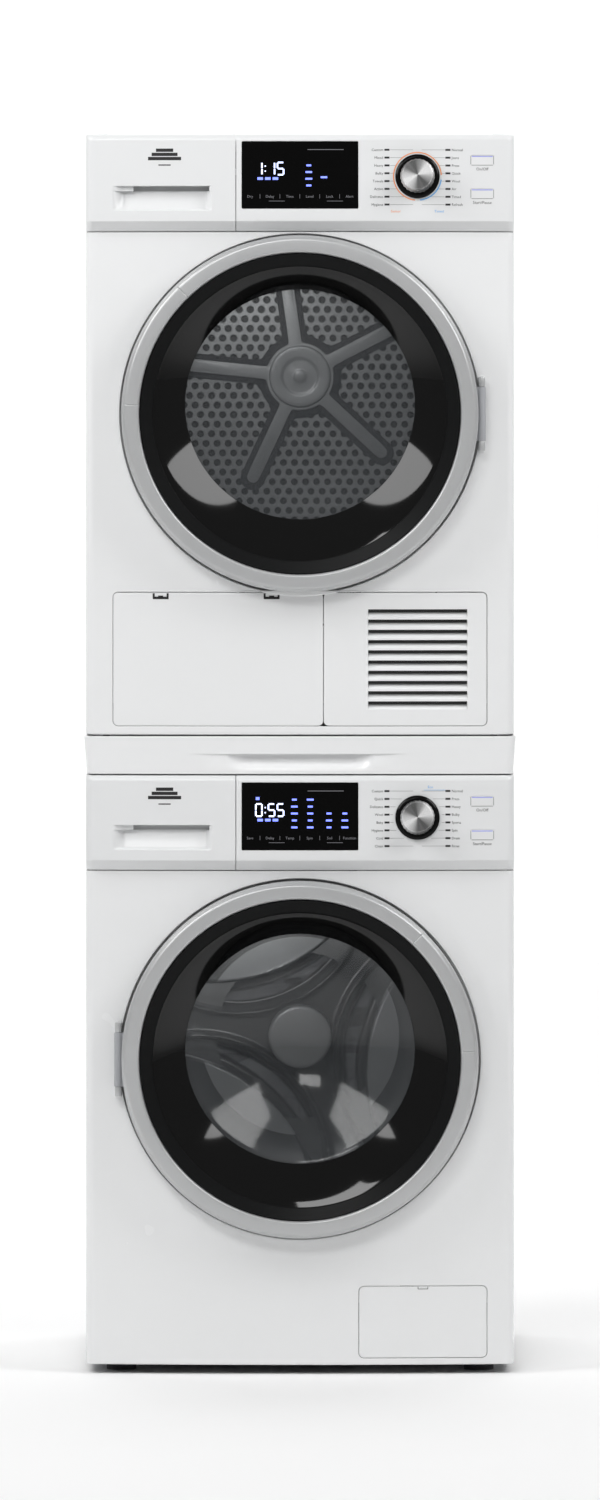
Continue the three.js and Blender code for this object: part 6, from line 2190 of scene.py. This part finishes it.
# ---- Studio ----
@dataclass
class Studio:
    """Floor, backdrop, soft lights and the camera."""

    distance: float = 11.0
    eye: float = 1.2
    middle: float = 0.868
    tall: float = 2.076
    surround: float = 0.24
    paper: float = 0.92
    sweep_y: float = 1.6
    sweep_r: float = 1.2

    def build(self) -> None:
        """Set the stage."""
        self.floor()
        self.world()
        bpy.context.scene.view_settings.view_transform = "Standard"
        for side in (-1, 1):
            self.light("overhead", (side * 2.3, -1.45, 3.1), (0.0, -0.25, 1.0), (1.3, 1.8), 52.0)
        self.light("front_high", (-1.2, -5.2, 4.4), (0.0, 0.0, 1.1), (2.6, 1.2), 88.0)
        self.light("dryer_drum_lamp", (-0.09, -0.175, 1.56), (0.0, 0.15, 1.38), (0.16, 0.06), 0.9)
        self.light("washer_drum_lamp", (-0.09, -0.15, 0.615), (0.0, 0.12, 0.42), (0.16, 0.06), 0.5)
        self.light("wall_wash", (0.0, 1.9, 3.6), (0.0, 2.8, 0.9), (5.0, 0.5), 62.0)
        self.camera()

    def floor(self) -> None:
        """One pale sheet: flat on the floor, then curving up behind as a quarter circle."""
        arc = np.linspace(0, math.pi / 2, 16)
        y = np.concatenate([[-14.0, self.sweep_y], self.sweep_y + self.sweep_r * np.sin(arc[1:])])
        z = np.concatenate([[0.0, 0.0], self.sweep_r * (1 - np.cos(arc[1:]))])
        y, z = np.append(y, y[-1]), np.append(z, 6.0)
        x = np.linspace(-6, 6, 3)
        xx, yy = np.meshgrid(x, y)
        body = Body().grid(np.stack([xx, yy, np.broadcast_to(z[:, None], xx.shape)], -1))
        pale = Coated("pale_paper", grey(self.paper), 0.85, mottle=0.004, relief=0.0)
        piece = body.build("paper_sweep", [], face_front=True)
        piece.data.materials.append(self.one_sided(pale.material()))
        piece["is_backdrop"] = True

    def one_sided(self, material: bpy.types.Material) -> bpy.types.Material:
        """Let the paper's reverse through, so that it never hides what stands before it.

        Args:
            material: the paper's own finish.

        Returns:
            The same material, clear on the reverse.
        """
        tree = material.node_tree
        output = next(node for node in tree.nodes if node.type == "OUTPUT_MATERIAL")
        front = output.inputs["Surface"].links[0].from_socket
        mix, clear = tree.nodes.new("ShaderNodeMixShader"), tree.nodes.new("ShaderNodeBsdfTransparent")
        side = tree.nodes.new("ShaderNodeNewGeometry").outputs["Backfacing"]
        for link in ((side, mix.inputs[0]), (front, mix.inputs[1]), (clear.outputs[0], mix.inputs[2]),
                     (mix.outputs[0], output.inputs["Surface"])):
            tree.links.new(*link)
        return material

    def world(self) -> None:
        """An even bright surround."""
        world = bpy.data.worlds.new("surround")
        world.use_nodes = True
        background = world.node_tree.nodes["Background"]
        background.inputs["Color"].default_value = rgba(grey(1.0))
        background.inputs["Strength"].default_value = self.surround
        bpy.context.scene.world = world

    def light(self, name: str, place: Sequence[float], target: Sequence[float], size: Sequence[float],
              power: float) -> None:
        """A rectangular softbox aimed at a point.

        Args:
            name: the light's name.
            place: its position.
            target: where it points.
            size: width and height.
            power: watts.
        """
        data = bpy.data.lights.new(name, "AREA")
        data.shape, data.size, data.size_y, data.energy = "RECTANGLE", size[0], size[1], power
        lamp = bpy.data.objects.new(name, data)
        lamp.location = place
        aim = np.asarray(target) - np.asarray(place)
        lamp.rotation_euler = (math.atan2(math.hypot(aim[0], aim[1]), -aim[2]), 0.0,
                               math.atan2(aim[0], -aim[1]) + math.pi)
        bpy.context.scene.collection.objects.link(lamp)

    def camera(self) -> None:
        """A level view from the front whose frame is moved down by a small shift."""
        data = bpy.data.cameras.new("camera")
        data.sensor_fit, data.sensor_height = "VERTICAL", 36.0
        data.lens = self.distance / self.tall * data.sensor_height
        data.shift_y = (self.middle - self.eye) / self.tall
        eye = bpy.data.objects.new("camera", data)
        eye.location = (0.0, CAD_BOX[0][1] - self.distance, self.eye)
        eye.rotation_euler = (math.pi / 2, 0.0, 0.0)
        bpy.context.scene.collection.objects.link(eye)
        bpy.context.scene.camera = eye


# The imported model's nodes, and its box before any new piece is added.
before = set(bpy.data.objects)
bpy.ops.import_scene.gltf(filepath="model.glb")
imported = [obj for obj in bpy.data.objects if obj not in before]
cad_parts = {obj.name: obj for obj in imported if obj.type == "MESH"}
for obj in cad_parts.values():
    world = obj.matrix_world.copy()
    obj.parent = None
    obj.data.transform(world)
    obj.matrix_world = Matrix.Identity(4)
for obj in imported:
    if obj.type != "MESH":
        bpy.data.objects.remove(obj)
CAD_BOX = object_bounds()


def main() -> None:
    """Build the stack in order."""
    logging.basicConfig(level=logging.INFO, format="%(message)s")
    washer, dryer = Machine("washer", -1), Machine("dryer", 1)
    Studio().build()
    gap, gap_r = 1.4 * MM, 7.6 * MM
    drain = box_outline("washer_drain_flap", gap_r, gap)
    drain_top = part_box("washer_drain_flap")[1][2]
    flap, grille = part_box("dryer_service_flap"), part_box("dryer_vent_grille")
    lower = Outline((flap[0][0] + grille[1][0]) / 2, (flap[0][2] + flap[1][2]) / 2,
                    grille[1][0] - flap[0][0] + gap,
                    flap[1][2] - flap[0][2] + gap, gap_r)
    FrontPanel(washer, split=drain_top + 14 * MM, holes=[drain]).build()
    FrontPanel(dryer, split=flap[1][2] + 1.5 * MM, holes=[lower]).build()
    Door(washer, (3.0, 46.0), 86 * MM).build()
    Door(dryer, (134.0, 177.0), 24 * MM).build()
    washer_left = ("Custom", "Quick", "Delicates", "Wool", "Baby", "Hygiene", "Cold", "Clean")
    washer_right = ("Normal", "Press", "Heavy", "Bulky", "Sports", "Spin", "Drain", "Rinse")
    dryer_left = ("Custom", "Mixed", "Heavy", "Bulky", "Towels", "Active", "Delicates", "Hygiene")
    dryer_right = ("Normal", "Jeans", "Press", "Quick", "Wool", "Air", "Timed", "Refresh")
    Controls(washer, washer_left, washer_right, "0:55", False, "washer_drawer",
             ["washer_drawer_front"]).build()
    Controls(dryer, dryer_left, dryer_right, "1:15", True, "dryer_water_tank", ["dryer_water_tank"]).build()
    WasherDrum(washer).build()
    DryerDrum(dryer).build()
    LowerDryer(dryer).build()
    DrainFlap(washer).build()
    Kit().build()
    Suspension().build()
    Tank().build()
    Casing().build()


if __name__ == "__main__":
    main()
